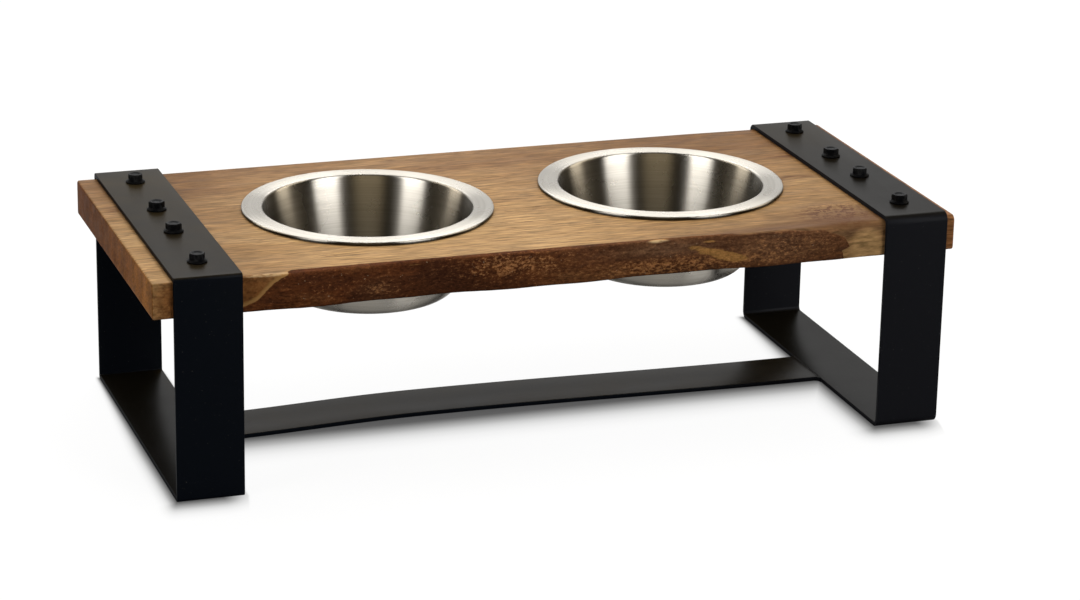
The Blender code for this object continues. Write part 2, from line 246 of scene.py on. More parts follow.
class ShaderSheet(NodeSheet):
    """A material or world under construction."""

    def __init__(self, holder: Material | World) -> None:
        """Empty the holder's tree and keep it.

        Args:
            holder: The material or world that the tree belongs to.
        """
        holder.use_nodes = True
        holder.node_tree.nodes.clear()
        super().__init__(holder.node_tree)

    def place(self, scale: Triple = (1.0, 1.0, 1.0), shift: Triple = (0.0, 0.0, 0.0)) -> Wire:
        """Object coordinates in metres, stretched and then moved for one pattern."""
        source = self.add("ShaderNodeTexCoord", out="Object")
        return self.add("ShaderNodeMapping", {"Vector": source, "Location": shift, "Scale": scale})

    def normal(self) -> list[Wire]:
        """The three parts of the way that the surface faces."""
        return self.add("ShaderNodeNewGeometry", out="Normal").parts()

    def written(self, name: str) -> Wire:
        """What the mesh says of itself under a name."""
        return self.add("ShaderNodeAttribute", out="Fac", attribute_name=name)

    def rays(self, *names: str) -> list[Wire]:
        """What is known of the ray at hand, by Blender's names for it."""
        path = self.add("ShaderNodeLightPath")
        return [path.beside(name) for name in names]

    def noise(
        self, at: Triple | Wire, detail: float = 2.0, rough: float = 0.5, warp: float = 0.0,
        shift: Triple = (0.0, 0.0, 0.0), scale: float = 1.0,
    ) -> Wire:
        """Cloudy noise between 0 and 1.

        Args:
            at: Its repeats in a metre along the axes, or the coordinates that it follows.
            detail: How many finer layers it has.
            rough: How strong the finer layers are.
            warp: How far it swirls.
            shift: How far it is moved, in its own steps.
            scale: Its fineness beyond that.

        Returns:
            The noise.
        """
        vector = at if isinstance(at, Wire) else self.place(at, shift)
        inputs = {"Vector": vector, "Scale": scale, "Detail": detail, "Roughness": rough, "Distortion": warp}
        return self.add("ShaderNodeTexNoise", inputs)

    def ramp(self, value: Wire, *stops: tuple[float, Colour]) -> Wire:
        """A run of colours.

        Args:
            value: Where along the run, from 0 to 1.
            *stops: Places along the run, each with its colour.

        Returns:
            The colour.
        """
        run = self.add("ShaderNodeValToRGB", {0: value})
        marks = run.socket.node.color_ramp.elements
        while len(marks) < len(stops):
            marks.new(1.0)
        for mark, (place, colour) in zip(marks, stops):
            mark.position = place
            mark.color = (*colour, 1.0)
        return run

    def mix(self, share: object, first: object, second: object, blend: str = "MIX") -> Wire:
        """The first colour, mixed with a share of the second in one of Blender's ways."""
        a, b = ((*c, 1.0) if isinstance(c, tuple) else c for c in (first, second))
        return self.add("ShaderNodeMix", {0: share, 6: a, 7: b}, 2, data_type="RGBA", blend_type=blend)

    def between(self, share: Wire, first: object, second: object) -> Wire:
        """A number between two others."""
        return self.add("ShaderNodeMix", {0: share, 2: first, 3: second})

    def spot(self, centre: Triple, reach: Triple, soft: float = 0.6) -> Wire:
        """A soft-edged place on a piece: 1 in its middle, 0 beyond its reach.

        Args:
            centre: Its middle, in metres.
            reach: Its half sizes along the axes, in metres.
            soft: The share of its reach over which it fades.

        Returns:
            The share.
        """
        shift = tuple(-at / length for at, length in zip(centre, reach))
        place = self.place(tuple(1.0 / length for length in reach), shift)
        far = self.add("ShaderNodeVectorMath", {0: place}, "Value", operation="LENGTH")
        return far.span(1.0 - soft, 1.0, 1.0, 0.0, smooth=True)

    def bump(self, height: Wire, strength: float, distance: float, onto: Wire | None = None) -> Wire:
        """A normal raised by a share of a distance in metres, on top of another one."""
        inputs = {"Height": height, "Strength": strength, "Distance": distance}
        return self.add("ShaderNodeBump", inputs | ({"Normal": onto} if onto else {}))

    def finish(self, **inputs: object) -> None:
        """End a material in a Principled shader, its inputs named with underscores for spaces."""
        named = {name.replace("_", " "): value for name, value in inputs.items()}
        self.end("ShaderNodeOutputMaterial", self.add("ShaderNodeBsdfPrincipled", named))


class Finish:
    """A look that lays itself out as a material."""

    name = "finish"

    def build(self) -> Material:
        """Make the material.

        Returns:
            The finished material.
        """
        made = bpy.data.materials.new(self.name)
        self.paint(ShaderSheet(made))
        return made


@dataclass(frozen=True)
class LiveEdgeWood(Finish):
    """Oiled hardwood with fine open pores, and bark where the mesh says so."""

    name = "oiled_live_edge_wood"

    straw: Colour = (0.405, 0.257, 0.118)
    pale: Colour = (0.345, 0.207, 0.087)
    middle: Colour = (0.262, 0.146, 0.058)
    deep: Colour = (0.180, 0.083, 0.032)
    pore: Colour = (0.085, 0.034, 0.013)
    rear: Colour = (0.200, 0.100, 0.045)
    darkening_tint: Colour = (0.52, 0.45, 0.37)
    streak: Colour = (0.085, 0.030, 0.011)
    shade: Colour = (0.095, 0.043, 0.019)
    reddish: Colour = (1.10, 0.86, 0.90)
    end_rear: Colour = (0.58, 0.35, 0.18)
    end_front: Colour = (0.80, 0.54, 0.27)
    front_left: Colour = (0.150, 0.056, 0.015)
    bark_red: Colour = (0.084, 0.026, 0.008)
    bark_brown: Colour = (0.128, 0.049, 0.017)
    bark_dark: Colour = (0.040, 0.014, 0.006)
    bark_grey: Colour = (0.105, 0.050, 0.025)
    bark_weathered: Colour = (1.30, 1.48, 1.60)
    chip: Colour = (0.46, 0.34, 0.22)
    fleck: Colour = (0.42, 0.19, 0.070)
    ochre: Colour = (0.34, 0.17, 0.050)
    sapwood: Colour = (0.30, 0.165, 0.055)
    torn_lip: Colour = (0.52, 0.36, 0.19)
    specular: float = 0.04

    # Bands across the top that are darker, or lighter where the amount is negative: from and to along the
    # board, and how much
    darkening_bands: tuple[Triple, ...] = (
        (-0.165, -0.205, 0.50), (-0.250, -0.264, -0.30), (0.0, 0.12, 0.52), (0.215, 0.262, 0.44),
    )
    dark_streaks: tuple[Patch, ...] = (
        ((-0.266, 0.043, 0.1467), (0.012, 0.014, 0.01), 0.9),
        ((0.217, 0.046, 0.1467), (0.026, 0.011, 0.01), 0.9),
        ((0.200, -0.007, 0.1467), (0.030, 0.008, 0.01), 0.9),
        ((0.182, -0.105, 0.1467), (0.016, 0.005, 0.01), 0.95),
    )
    # Darker patches in the shade colour, over the speckled patch, along the right front shoulder and beside
    # the left strap: each its middle, its reach and how much shows
    dark_patches: tuple[Patch, ...] = (
        ((0.200, -0.110, 0.1467), (0.080, 0.050, 0.03), 0.85),
        ((0.140, -0.116, 0.1467), (0.095, 0.017, 0.02), 0.75),
        ((-0.262, 0.090, 0.1467), (0.020, 0.050, 0.02), 0.15),
    )
    dots_spread: Patch = ((0.200, -0.092, 0.1467), (0.038, 0.030, 0.02), 0.7)
    left_stub: Patch = ((-0.235, -0.123, 0.133), (0.062, 0.010, 0.040), 0.35)
    right_stub: Patch = ((0.211, -0.122, 0.131), (0.017, 0.008, 0.018), 0.4)
    lip: Patch = ((-0.200, -0.1182, 0.1464), (0.021, 0.0030, 0.0016), 0.5)
    nick: Patch = ((0.0625, -0.1185, 0.1462), (0.010, 0.0040, 0.0015), 0.6)

    def paint(self, sheet: ShaderSheet) -> None:
        """Lay wood, sapwood and bark side by side, as the mesh says.

        Args:
            sheet: The material's sheet.
        """
        wood, pores = self.wood(sheet)
        bark, grit = self.bark(sheet)
        x, _, _ = sheet.place().parts()
        wander = sheet.noise((180, 420, 420), 4.0, 0.6)
        edge = sheet.written("bark") + wander.span(0.2, 0.8, -0.06, 0.06)
        is_bark = edge.span(0.46, 0.54, smooth=True)
        wood = wood.under(self.sapwood, edge.span(0.12, 0.34) * x.span(-0.190, -0.170, 0.80, 0.0))
        wood = wood.under(self.torn_lip, sheet.spot(*self.lip) * wander.span(0.40, 0.58, 0.0, 0.6))
        nicked = sheet.spot(*self.nick) * wander.span(0.38, 0.52, 0.2, 0.85)
        colour = wood.under(bark, is_bark).under(self.torn_lip, nicked)
        sheen = sheet.noise((30, 120, 120)).span(0.3, 0.7, 0.42, 0.54)
        fine = sheet.bump(pores, 0.6, 0.12 * MM)
        normal = sheet.bump(grit * is_bark, 0.8, 0.35 * MM, fine)
        rough = sheet.between(is_bark, sheen, 0.80)
        sheet.finish(Base_Color=colour, Roughness=rough, Normal=normal, Specular_IOR_Level=self.specular)

    def wood(self, sheet: ShaderSheet) -> tuple[Wire, Wire]:
        """The sawn faces' colour, and the height of their pores.

        Args:
            sheet: The material's sheet.

        Returns:
            The colour, and the height.
        """
        x, y, z = sheet.place().parts()

        # Growth rings, drawn out along the board, and paler or darker lanes between them
        bend = sheet.noise((4, 12, 12), 3.0, 0.55).span(0.0, 1.0, -1.6, 1.6)
        rings = (y + z * 0.42) * 30.0 + bend
        lane = sheet.noise(sheet.point(x * 2.6, rings, 3.0), 3.0, 0.6, scale=1.3)
        colour = sheet.ramp(lane, (0.24, self.middle), (0.50, self.pale), (0.74, self.straw))
        mottle = sheet.noise((22, 46, 46), 4.0, 0.65, shift=(7, 0, 0))
        rear_side = y.span(-0.02, 0.115, smooth=True)
        colour = colour.under(self.rear, rear_side * mottle.span(0.3, 0.7, 0.30, 0.80))

        # Smears, fibres and open pores
        smears = sheet.noise((20, 320, 320), 4.0, 0.6, 0.3, (2, 5, 0))
        hairs = sheet.noise((46, 560, 560), 3.0, 0.6, 0.1)
        fibres = sheet.noise((64, 760, 760), 3.0, 0.6, shift=(4, 2, 0))
        colour = colour.under(self.deep, smears.span(0.30, 0.48, 0.30, 0.0))
        colour = colour.times(hairs.span(0.33, 0.67, 0.72, 1.22)).times(fibres.span(0.32, 0.68, 0.62, 1.36))
        lines = sheet.noise((62, 640, 640), warp=0.2, shift=(3, 1, 0))
        thick = sheet.noise((14, 60, 60), shift=(9, 0, 0))
        pores = (lines + thick.span(0.25, 0.75, 0.07, -0.05)).span(0.28, 0.36, 1.0, 0.0, smooth=True)
        colour = colour.under(self.pore, pores * 0.75)

        # Darkening towards the rear and in bands, dark streaks, darker patches and dots on the top
        darkening = y.span(-0.04, 0.115, 0.0, 0.35)
        for start, end, amount in self.darkening_bands:
            darkening = sheet.math("ADD", darkening, x.span(start, end, 0.0, amount), clamp=True)
        colour = colour.times(self.darkening_tint, darkening)
        wisp, veil = hairs.span(0.40, 0.58, 1.0, 0.12), mottle.span(0.30, 0.62, 0.75, 1.0)
        for centre, reach, amount in self.dark_streaks:
            colour = colour.under(self.streak, sheet.spot(centre, reach, 0.8) * (wisp * amount))
        for centre, reach, amount in self.dark_patches:
            colour = colour.under(self.shade, sheet.spot(centre, reach, 0.9) * veil * amount)
        dots = sheet.noise((300, 420, 420), rough=0.6, shift=(1, 8, 4)).span(0.50, 0.55, 0.0, 0.95)
        colour = colour.under(self.streak, sheet.spot(*self.dots_spread) * dots)

        # The sawn front beside the bark: dots of grit on the left, drawn out on the right
        colour = colour.under(self.front_left, sheet.spot(*self.left_stub) * 0.92)
        colour = colour.under(self.pale, sheet.spot(*self.right_stub) * 0.9)
        grit, drawn = (sheet.noise(scale, 3.0, 0.6) for scale in ((300, 300, 420), (95, 300, 460)))
        sawn = sheet.between(x.span(-0.1, 0.1), grit, drawn).span(0.32, 0.68, 0.56, 1.44)
        colour = colour.times(sawn, y.span(-0.1165, -0.1178))

        # The end grain, darker to the rear
        end = abs(sheet.normal()[0]).span(0.6, 0.9)
        blocks = sheet.noise((1, 44, 9), 3.0, 0.5, shift=(0, 3, 1)).span(0.36, 0.64, 0.74, 1.24)
        end_tone = sheet.mix(y.span(-0.105, -0.02), self.end_front, self.end_rear).times(blocks)
        colour = colour.times(end_tone, end).times(self.reddish, x.span(0.266, 0.270, 0.0, 0.8))
        return colour, 1.0 - pores

    def bark(self, sheet: ShaderSheet) -> tuple[Wire, Wire]:
        """The bark's colour, and the height of its grit.

        Args:
            sheet: The material's sheet.

        Returns:
            The colour, and the height.
        """
        broad = sheet.noise((24, 30, 110), 4.0, 0.62, 0.3)
        streaks = sheet.noise((60, 300, 520), 4.0, 0.66, 0.3)
        specks = sheet.noise((330, 560, 640), 5.0, 0.80)
        grains = sheet.noise((420, 500, 560), shift=(5, 0, 2))
        colour = sheet.ramp(broad, (0.32, self.bark_dark), (0.50, self.bark_red), (0.74, self.bark_brown))
        colour = colour.under(self.bark_grey, sheet.written("bark_grey"))
        colour = colour.under(self.bark_dark, sheet.written("bark_dark"))
        colour = colour.under(self.bark_dark, streaks.span(0.36, 0.56, 0.62, 0.0))
        colour = colour.times(self.bark_weathered, sheet.place().parts()[0].span(-0.060, 0.0))
        colour = colour.times(specks.span(0.34, 0.66, 0.42, 1.62))
        level = specks + sheet.written("bark_tan").times_plus(0.18, -0.06)
        colour = colour.under(self.fleck, level.span(0.54, 0.70, 0.0, 0.74, smooth=True))
        torn = sheet.written("bark_ochre") + streaks.span(0.2, 0.8, -0.32, 0.32)
        ochre = sheet.mix(1.0, self.ochre, specks.span(0.34, 0.66, 0.50, 1.45), "MULTIPLY")
        colour = colour.under(ochre, torn.span(0.46, 0.80, 0.0, 0.80, smooth=True))
        colour = colour.under(self.chip, grains.span(0.72, 0.78, 0.0, 0.6))
        return colour, specks * 0.6 + streaks * 0.6


@dataclass(frozen=True)
class PowderCoat(Finish):
    """Satin black powder coat on flat bar, with dust and painted sheen on its flats."""

    name = "black_powder_coat"

    base: Colour = (0.0027, 0.0038, 0.0060)
    # Painted light: the right hoop is the same coat, given a lighter base to stand in for how light falls on
    # it
    right_lit_base: Colour = (0.0084, 0.0088, 0.0110)
    flat_base: Colour = (0.0050, 0.0040, 0.0026)
    # Dust on the flats, laid on more or less by place so that it also paints in their sheen
    dust_and_sheen: Colour = (0.028, 0.0200, 0.0090)
    worn: Colour = (0.09, 0.085, 0.075)
    specular: float = 0.034

    def paint(self, sheet: ShaderSheet) -> None:
        """Lay out the coat, the dust and painted sheen on its flats, its worn specks and its fine peel.

        Args:
            sheet: The material's sheet.
        """
        x, y, z = sheet.place().parts()
        cloud = sheet.noise((22, 30, 22), 5.0, 0.6)
        lies = sheet.normal()[2].span(0.5, 0.95)
        # How much dust and painted sheen each flat gets: more to the back on the top straps, more on the left
        # one, some on the floor bar and none on the feet
        on_bar = abs(x).span(0.212, 0.226, 1.0, 0.0)
        left_top, right_top = y.span(-0.02, 0.10, 0.85, 1.30), y.span(-0.02, 0.10, 0.0, 0.60)
        on_top = sheet.between(x.span(-0.05, 0.05), left_top, right_top)
        spread = sheet.between(z.span(0.05, 0.10), on_bar, on_top)
        dust_and_sheen_share = lies * cloud.span(0.35, 0.75, 0.25, 0.85) * spread
        # The right hoop's lighter base is painted light; the flats get their own base
        base = sheet.mix(x.span(0.10, 0.21), self.base, self.right_lit_base).under(self.flat_base, lies)
        specks = sheet.noise((900, 900, 900), 1.0).span(0.76, 0.80, 0.0, 0.5)
        colour = base.under(self.dust_and_sheen, dust_and_sheen_share).under(self.worn, specks)
        peel = sheet.bump(sheet.noise((620, 620, 620)), 0.25, 0.05 * MM)
        rough = cloud.span(0.3, 0.7, 0.28, 0.34)
        sheet.finish(Base_Color=colour, Roughness=rough, Normal=peel, Specular_IOR_Level=self.specular)


@dataclass(frozen=True)
class BlackScrewPlate(Finish):
    """Black plated steel of the hex washer-head screws."""

    name = "black_screw_plate"

    base: Colour = (0.0018, 0.0018, 0.0022)
    rubbed: Colour = (0.009, 0.0085, 0.008)
    specular: float = 0.055

    def paint(self, sheet: ShaderSheet) -> None:
        """Lay out the plating, rubbed here and there.

        Args:
            sheet: The material's sheet.
        """
        cloud = sheet.noise((260, 260, 260), 4.0, 0.6)
        colour = sheet.mix(cloud.span(0.45, 0.8, 0.0, 0.8), self.base, self.rubbed)
        grain = sheet.bump(sheet.noise((1900, 1900, 1900)), 0.3, 0.04 * MM)
        rough = cloud.span(0.3, 0.7, 0.30, 0.46)
        sheet.finish(Base_Color=colour, Roughness=rough, Normal=grain, Specular_IOR_Level=self.specular)


@dataclass(frozen=True)
class BrushedStainless(Finish):
    """Stainless steel with fine brush lines running round the bowl."""

    name = "brushed_stainless"

    # Where the turned-down edge starts and ends along the bowl's section, and how far it fades in and out
    turned_edge: Pair
    edge_fades: Pair = (0.0006, 0.0002)
    base: Colour = (0.66, 0.620, 0.550)
    shade: Colour = (0.54, 0.500, 0.430)
    # Painted shade on the turned-down edge, where it curls under the flange into its own shadow
    hem: Colour = (0.085, 0.080, 0.070)
    anisotropy: float = 1.0
    line_scale: Triple = (7.0, 1000.0, 1.0)
    band_scale: Triple = (3.0, 170.0, 1.0)

    def paint(self, sheet: ShaderSheet) -> None:
        """Lay out the brush lines, the painted shade on the hem and the smudges.

        Args:
            sheet: The material's sheet.
        """
        around = sheet.add("ShaderNodeUVMap", uv_map="round")
        lines, bands = (
            sheet.noise(sheet.add("ShaderNodeMapping", {"Vector": around, "Scale": scale}), detail, 0.6)
            for scale, detail in ((self.line_scale, 3.0), (self.band_scale, 2.0))
        )
        colour = sheet.mix((lines * 0.6 + bands * 0.4).span(0.35, 0.65), self.base, self.shade)
        along = around.parts()[1]
        (start, end), (first, last) = self.turned_edge, self.edge_fades
        # Where the hem's painted shade lies, faded in and out along the section
        turned = along.span(start, start + first) * along.span(end - last, end, 1.0, 0.0)
        smudge = sheet.noise((30, 30, 30), 4.0, 0.55).span(0.3, 0.7, 0.265, 0.285)
        tangent = sheet.add("ShaderNodeTangent", direction_type="UV_MAP", uv_map="round")
        sheet.finish(
            Base_Color=colour.under(self.hem, turned), Roughness=smudge, Metallic=1.0, Tangent=tangent,
            Anisotropic=self.anisotropy, Anisotropic_Rotation=0.25,
        )


def lay(name: str, mesh: Mesh, finish: Material | None = None) -> Object:
    """Put a mesh in the scene as an object at the origin.

    Args:
        name: The piece's name.
        mesh: Its mesh, with its place in it.
        finish: Its material, unless it gets one later.

    Returns:
        The new object.
    """
    if finish is not None:
        mesh.materials.append(finish)
    piece = bpy.data.objects.new(name, mesh)
    bpy.context.scene.collection.objects.link(piece)
    return piece


def mesh_of(name: str, bm: bmesh.types.BMesh) -> Mesh:
    """Write a bmesh out as a mesh and let go of it.

    Args:
        name: The mesh's name.
        bm: The bmesh.

    Returns:
        The mesh.
    """
    mesh = bpy.data.meshes.new(name)
    bm.to_mesh(mesh)
    bm.free()
    return mesh


def loft(name: str, rings: Array) -> Mesh:
    """A closed skin over rings of points, with a face at each end.

    Args:
        name: The mesh's name.
        rings: The points, as rings by points by x, y and z.

    Returns:
        The mesh.
    """
    count, size = rings.shape[:2]
    faces = [
        (row + at, row + (at + 1) % size, row + size + (at + 1) % size, row + size + at)
        for row in range(0, (count - 1) * size, size) for at in range(size)
    ]
    faces += [tuple(range(size)), tuple(range(count * size - 1, (count - 1) * size - 1, -1))]
    mesh = bpy.data.meshes.new(name)
    mesh.from_pydata(rings.reshape(-1, 3).tolist(), [], faces)
    return mesh


def settle(piece: Object, smooth_below: float = 35.0) -> None:
    """Turn faces outwards and shade every edge flatter than an angle smooth.

    Args:
        piece: The piece to settle.
        smooth_below: The angle in degrees past which an edge shades sharp.
    """
    bm = bmesh.new()
    bm.from_mesh(piece.data)
    bmesh.ops.recalc_face_normals(bm, faces=bm.faces)
    bm.to_mesh(piece.data)
    bm.free()
    piece.data.shade_smooth()
    piece.data.set_sharp_from_angle(angle=math.radians(smooth_below))


def apply_modifiers(piece: Object) -> None:
    """Make the result of a piece's modifiers its own mesh.

    Args:
        piece: The piece.
    """
    evaluated = piece.evaluated_get(bpy.context.evaluated_depsgraph_get())
    shaped, old = bpy.data.meshes.new_from_object(evaluated), piece.data
    piece.modifiers.clear()
    piece.data = shaped
    shaped.name = piece.name
    bpy.data.meshes.remove(old)


def drill(piece: Object, holes: list[tuple[Triple, float, float]], steps: int) -> None:
    """Cut upright round holes.

    Args:
        piece: The piece to cut.
        holes: For each hole its foot's centre, its radius and its height.
        steps: How many sides a hole has.
    """
    bm = bmesh.new()
    for (x, y, z), radius, height in holes:
        bmesh.ops.create_cone(
            bm, cap_ends=True, segments=steps, radius1=radius, radius2=radius, depth=height,
            matrix=Matrix.Translation((x, y, z + height / 2)),
        )
    cutter = lay("drill", mesh_of("drill", bm))
    modifier = piece.modifiers.new("drilled", "BOOLEAN")
    modifier.operation = "DIFFERENCE"
    modifier.solver = "EXACT"
    modifier.object = cutter
    apply_modifiers(piece)
    bpy.data.objects.remove(cutter)


def grow(name: str, tree: NodeTree, sizes: Sizes) -> Object:
    """Run a geometry tree once and keep what it makes as a plain mesh.

    Args:
        name: The piece's name.
        tree: The geometry tree.
        sizes: A value for each of the tree's named inputs.

    Returns:
        The piece.
    """
    piece = lay(name, bpy.data.meshes.new(name))
    modifier = piece.modifiers.new("made by rule", "NODES")
    modifier.node_group = tree
    for item in tree.interface.items_tree:
        if item.name in sizes:
            modifier[item.identifier] = sizes[item.name]
    apply_modifiers(piece)
    return piece


def hand_over(piece: Object, body: str, nodes: list[str]) -> None:
    """Tell the frame what a piece rides on, and hide the nodes that it stands for.

    Args:
        piece: The finished piece.
        body: The body that it moves with.
        nodes: The nodes of the frame that it replaces.
    """
    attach(piece, body)
    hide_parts(*nodes)
    LOG.info("%s: %d faces on %s", piece.name, len(piece.data.polygons), body)


class GeometrySheet(NodeSheet):
    """A geometry tree with named inputs."""

    KINDS = {
        float: "NodeSocketFloat", int: "NodeSocketInt",
        Object: "NodeSocketObject", Material: "NodeSocketMaterial",
    }

    def __init__(self, name: str, sizes: Sizes) -> None:
        """Start a tree.

        Args:
            name: The tree's name.
            sizes: A value for each of its named inputs, which tells the input's kind.
        """
        super().__init__(bpy.data.node_groups.new(name, "GeometryNodeTree"))
        face = self.tree.interface
        for label, value in sizes.items():
            face.new_socket(name=label, in_out="INPUT", socket_type=self.KINDS[type(value)])
        face.new_socket(name="Geometry", in_out="OUTPUT", socket_type="NodeSocketGeometry")
        first = self.add("NodeGroupInput")
        self.given = [first.beside(label) for label in sizes]

    def take(self, geometry: Wire, finish: Wire) -> NodeTree:
        """End the tree in real mesh with its material.

        Args:
            geometry: What the tree has made.
            finish: The input with the material.

        Returns:
            The finished tree.
        """
        real = self.add("GeometryNodeRealizeInstances", {0: geometry})
        dressed = self.add("GeometryNodeSetMaterial", {"Geometry": real, "Material": finish})
        self.end("NodeGroupOutput", dressed)
        return self.tree

    def rectangle(self, width: Wire, height: Wire, radius: Wire, steps: object) -> Wire:
        """A rectangle with rounded corners in the X-Y plane.

        Args:
            width: Its size along X.
            height: Its size along Y.
            radius: Its corners' radius.
            steps: How many points round a corner.

        Returns:
            The curve.
        """
        plain = self.add("GeometryNodeCurvePrimitiveQuadrilateral", {"Width": width, "Height": height})
        inputs = {"Curve": plain, "Count": steps, "Radius": radius}
        return self.add("GeometryNodeFilletCurve", inputs, mode="POLY")

    def sample(self, curve: Wire, index: Wire) -> list[Wire]:
        """Where one of a curve's points lies, as x, y and z."""
        inputs = {"Geometry": curve, "Value": self.add("GeometryNodeInputPosition"), "Index": index}
        return self.add("GeometryNodeSampleIndex", inputs, data_type="FLOAT_VECTOR", domain="POINT").parts()

    def count(self, curve: Wire) -> Wire:
        """How many points a curve has."""
        return self.add("GeometryNodeAttributeDomainSize", {0: curve}, "Point Count", component="CURVE")

    def move(self, geometry: Wire, place: Wire) -> Wire:
        """The geometry with its points put in another place."""
        return self.add("GeometryNodeSetPosition", {"Geometry": geometry, "Position": place})


@dataclass
class FlatBarHoops:
    """The two upright hoops bent from flat bar."""

    depth: float = 0.2430
    height: float = 0.1500
    bend_steps: int = 7
    left_radii: Pair = (0.0024, 0.0008)
    right_radii: Pair = (0.0058, 0.0028)
    hole_radius: float = 0.0034
    hole_steps: int = 24
    weld: float = 0.00002

    def tree(self, sizes: Sizes) -> NodeTree:
        """The rule for a closed hoop: a bar section swept between two rounded loops.

        Args:
            sizes: The tree's inputs.

        Returns:
            The geometry tree.
        """
        sheet = GeometrySheet("flat_bar_hoop", sizes)
        depth, height, width, thickness, outer_bend, inner_bend, edge, centre, steps, finish = sheet.given
        twice = thickness * 2.0
        outer = sheet.rectangle(depth, height, outer_bend, steps)
        inner = sheet.rectangle(depth - twice, height - twice, inner_bend, steps)
        section = sheet.rectangle(width, thickness, edge, STAND.bar_edge_steps)
        around, across = sheet.count(outer), sheet.count(section)
        columns = across + 1.0
        grid = sheet.add("GeometryNodeMeshGrid", {"Vertices X": around + 1.0, "Vertices Y": columns})
        index = sheet.add("GeometryNodeInputIndex")
        row = ((index + 0.5) / columns).floor()
        out_y, out_z, _ = sheet.sample(outer, row % around)
        in_y, in_z, _ = sheet.sample(inner, row % around)
        side, through, _ = sheet.sample(section, (index - row * columns) % across)
        share = through / thickness + 0.5
        y, z = (out_y - in_y).times_plus(share, in_y), (out_z - in_z).times_plus(share, in_z)
        swept = sheet.move(grid, sheet.point(side + centre, y, z + height * 0.5))
        closed = sheet.add("GeometryNodeMergeByDistance", {"Geometry": swept, "Distance": self.weld})
        return sheet.take(closed, finish)

    def build(self, finish: Material) -> None:
        """Make both hoops and hand them to the frame.

        Args:
            finish: The powder coat.
        """
        tree = None
        thickness = STAND.bar_thickness
        for side, (outer_bend, inner_bend) in zip(Side, (self.left_radii, self.right_radii)):
            x = STAND.strap_x[side]
            sizes = {
                "Depth": self.depth, "Height": self.height, "Bar Width": STAND.bar_width,
                "Bar Thickness": thickness, "Outer Radius": outer_bend, "Inner Radius": inner_bend,
                "Edge Radius": STAND.bar_edge, "Centre X": x, "Bend Steps": self.bend_steps, "Finish": finish,
            }
            tree = tree or self.tree(sizes)
            hoop = grow(f"{side.value}_flat_bar_hoop", tree, sizes)
            feet = [(x, y, self.height - 2 * thickness) for y in STAND.screw_rows]
            settle(hoop)
            drill(hoop, [(foot, self.hole_radius, 3 * thickness) for foot in feet], self.hole_steps)
            settle(hoop)
            hand_over(hoop, "stand", [f"{side.value}_hoop"])


@dataclass
class FloorBar:
    """The flat bar on the floor, bowed up a little and welded between the hoops."""

    left: float = -0.2173
    right: float = 0.2233
    bow: float = 0.0035
    bow_peak: float = 0.34
    fillet: float = 0.0040
    stations: int = 121
    crowding: float = 0.95

    def tree(self, sizes: Sizes) -> NodeTree:
        """The rule for the bar: swept straight, then bowed, and flared at its welds.

        Args:
            sizes: The tree's inputs.

        Returns:
            The geometry tree.
        """
        sheet = GeometrySheet("floor_bar", sizes)
        left, right, width, thickness, edge, bow, bow_peak, fillet, stations, finish = sheet.given
        length = right - left

        # A straight bar with its stations crowded at both ends
        ends = {"Start": (0, 0, 0), "End": sheet.point(1.0, 0, 0)}
        line = sheet.add("GeometryNodeCurvePrimitiveLine", ends)
        line = sheet.add("GeometryNodeResampleCurve", {"Curve": line, "Count": stations})
        share = sheet.add("GeometryNodeSplineParameter", out="Factor")
        wave = (share * FULL_TURN).sine()
        x = (share - wave * (self.crowding / FULL_TURN)).times_plus(length, left)
        line = sheet.move(line, sheet.point(x, 0.0, 0.0))
        section = sheet.rectangle(width, thickness, edge, STAND.bar_edge_steps)
        inputs = {"Curve": line, "Profile Curve": section, "Fill Caps": True}
        bar = sheet.add("GeometryNodeCurveToMesh", inputs)

        # Its bow, and its flare where the welds round into the hoops
        x, y, z = sheet.add("GeometryNodeInputPosition").parts()
        from_left = x - left
        along = from_left / length
        turn = (along / bow_peak).least((1.0 - along) / (1.0 - bow_peak)) * (math.pi / 2)
        lift = thickness.times_plus(0.5, turn.sine() ** 2.0 * bow)
        inside = (fillet - from_left.least(right - x)).most(0.0)
        flare = fillet - (fillet ** 2.0 - inside ** 2.0).most(0.0).root()
        place = sheet.point(x, y + flare * y.sign(), z + lift)
        return sheet.take(sheet.move(bar, place), finish)

    def build(self, finish: Material) -> None:
        """Make the bar and hand it to the frame.

        Args:
            finish: The powder coat.
        """
        sizes = {
            "Left": self.left, "Right": self.right, "Bar Width": STAND.bar_width,
            "Bar Thickness": STAND.bar_thickness, "Edge Radius": STAND.bar_edge, "Bow": self.bow,
            "Bow Peak": self.bow_peak, "Weld Fillet": self.fillet, "Stations": self.stations,
            "Finish": finish,
        }
        bar = grow("floor_bar", self.tree(sizes), sizes)
        settle(bar)
        hand_over(bar, "stand", ["floor_stretcher"])


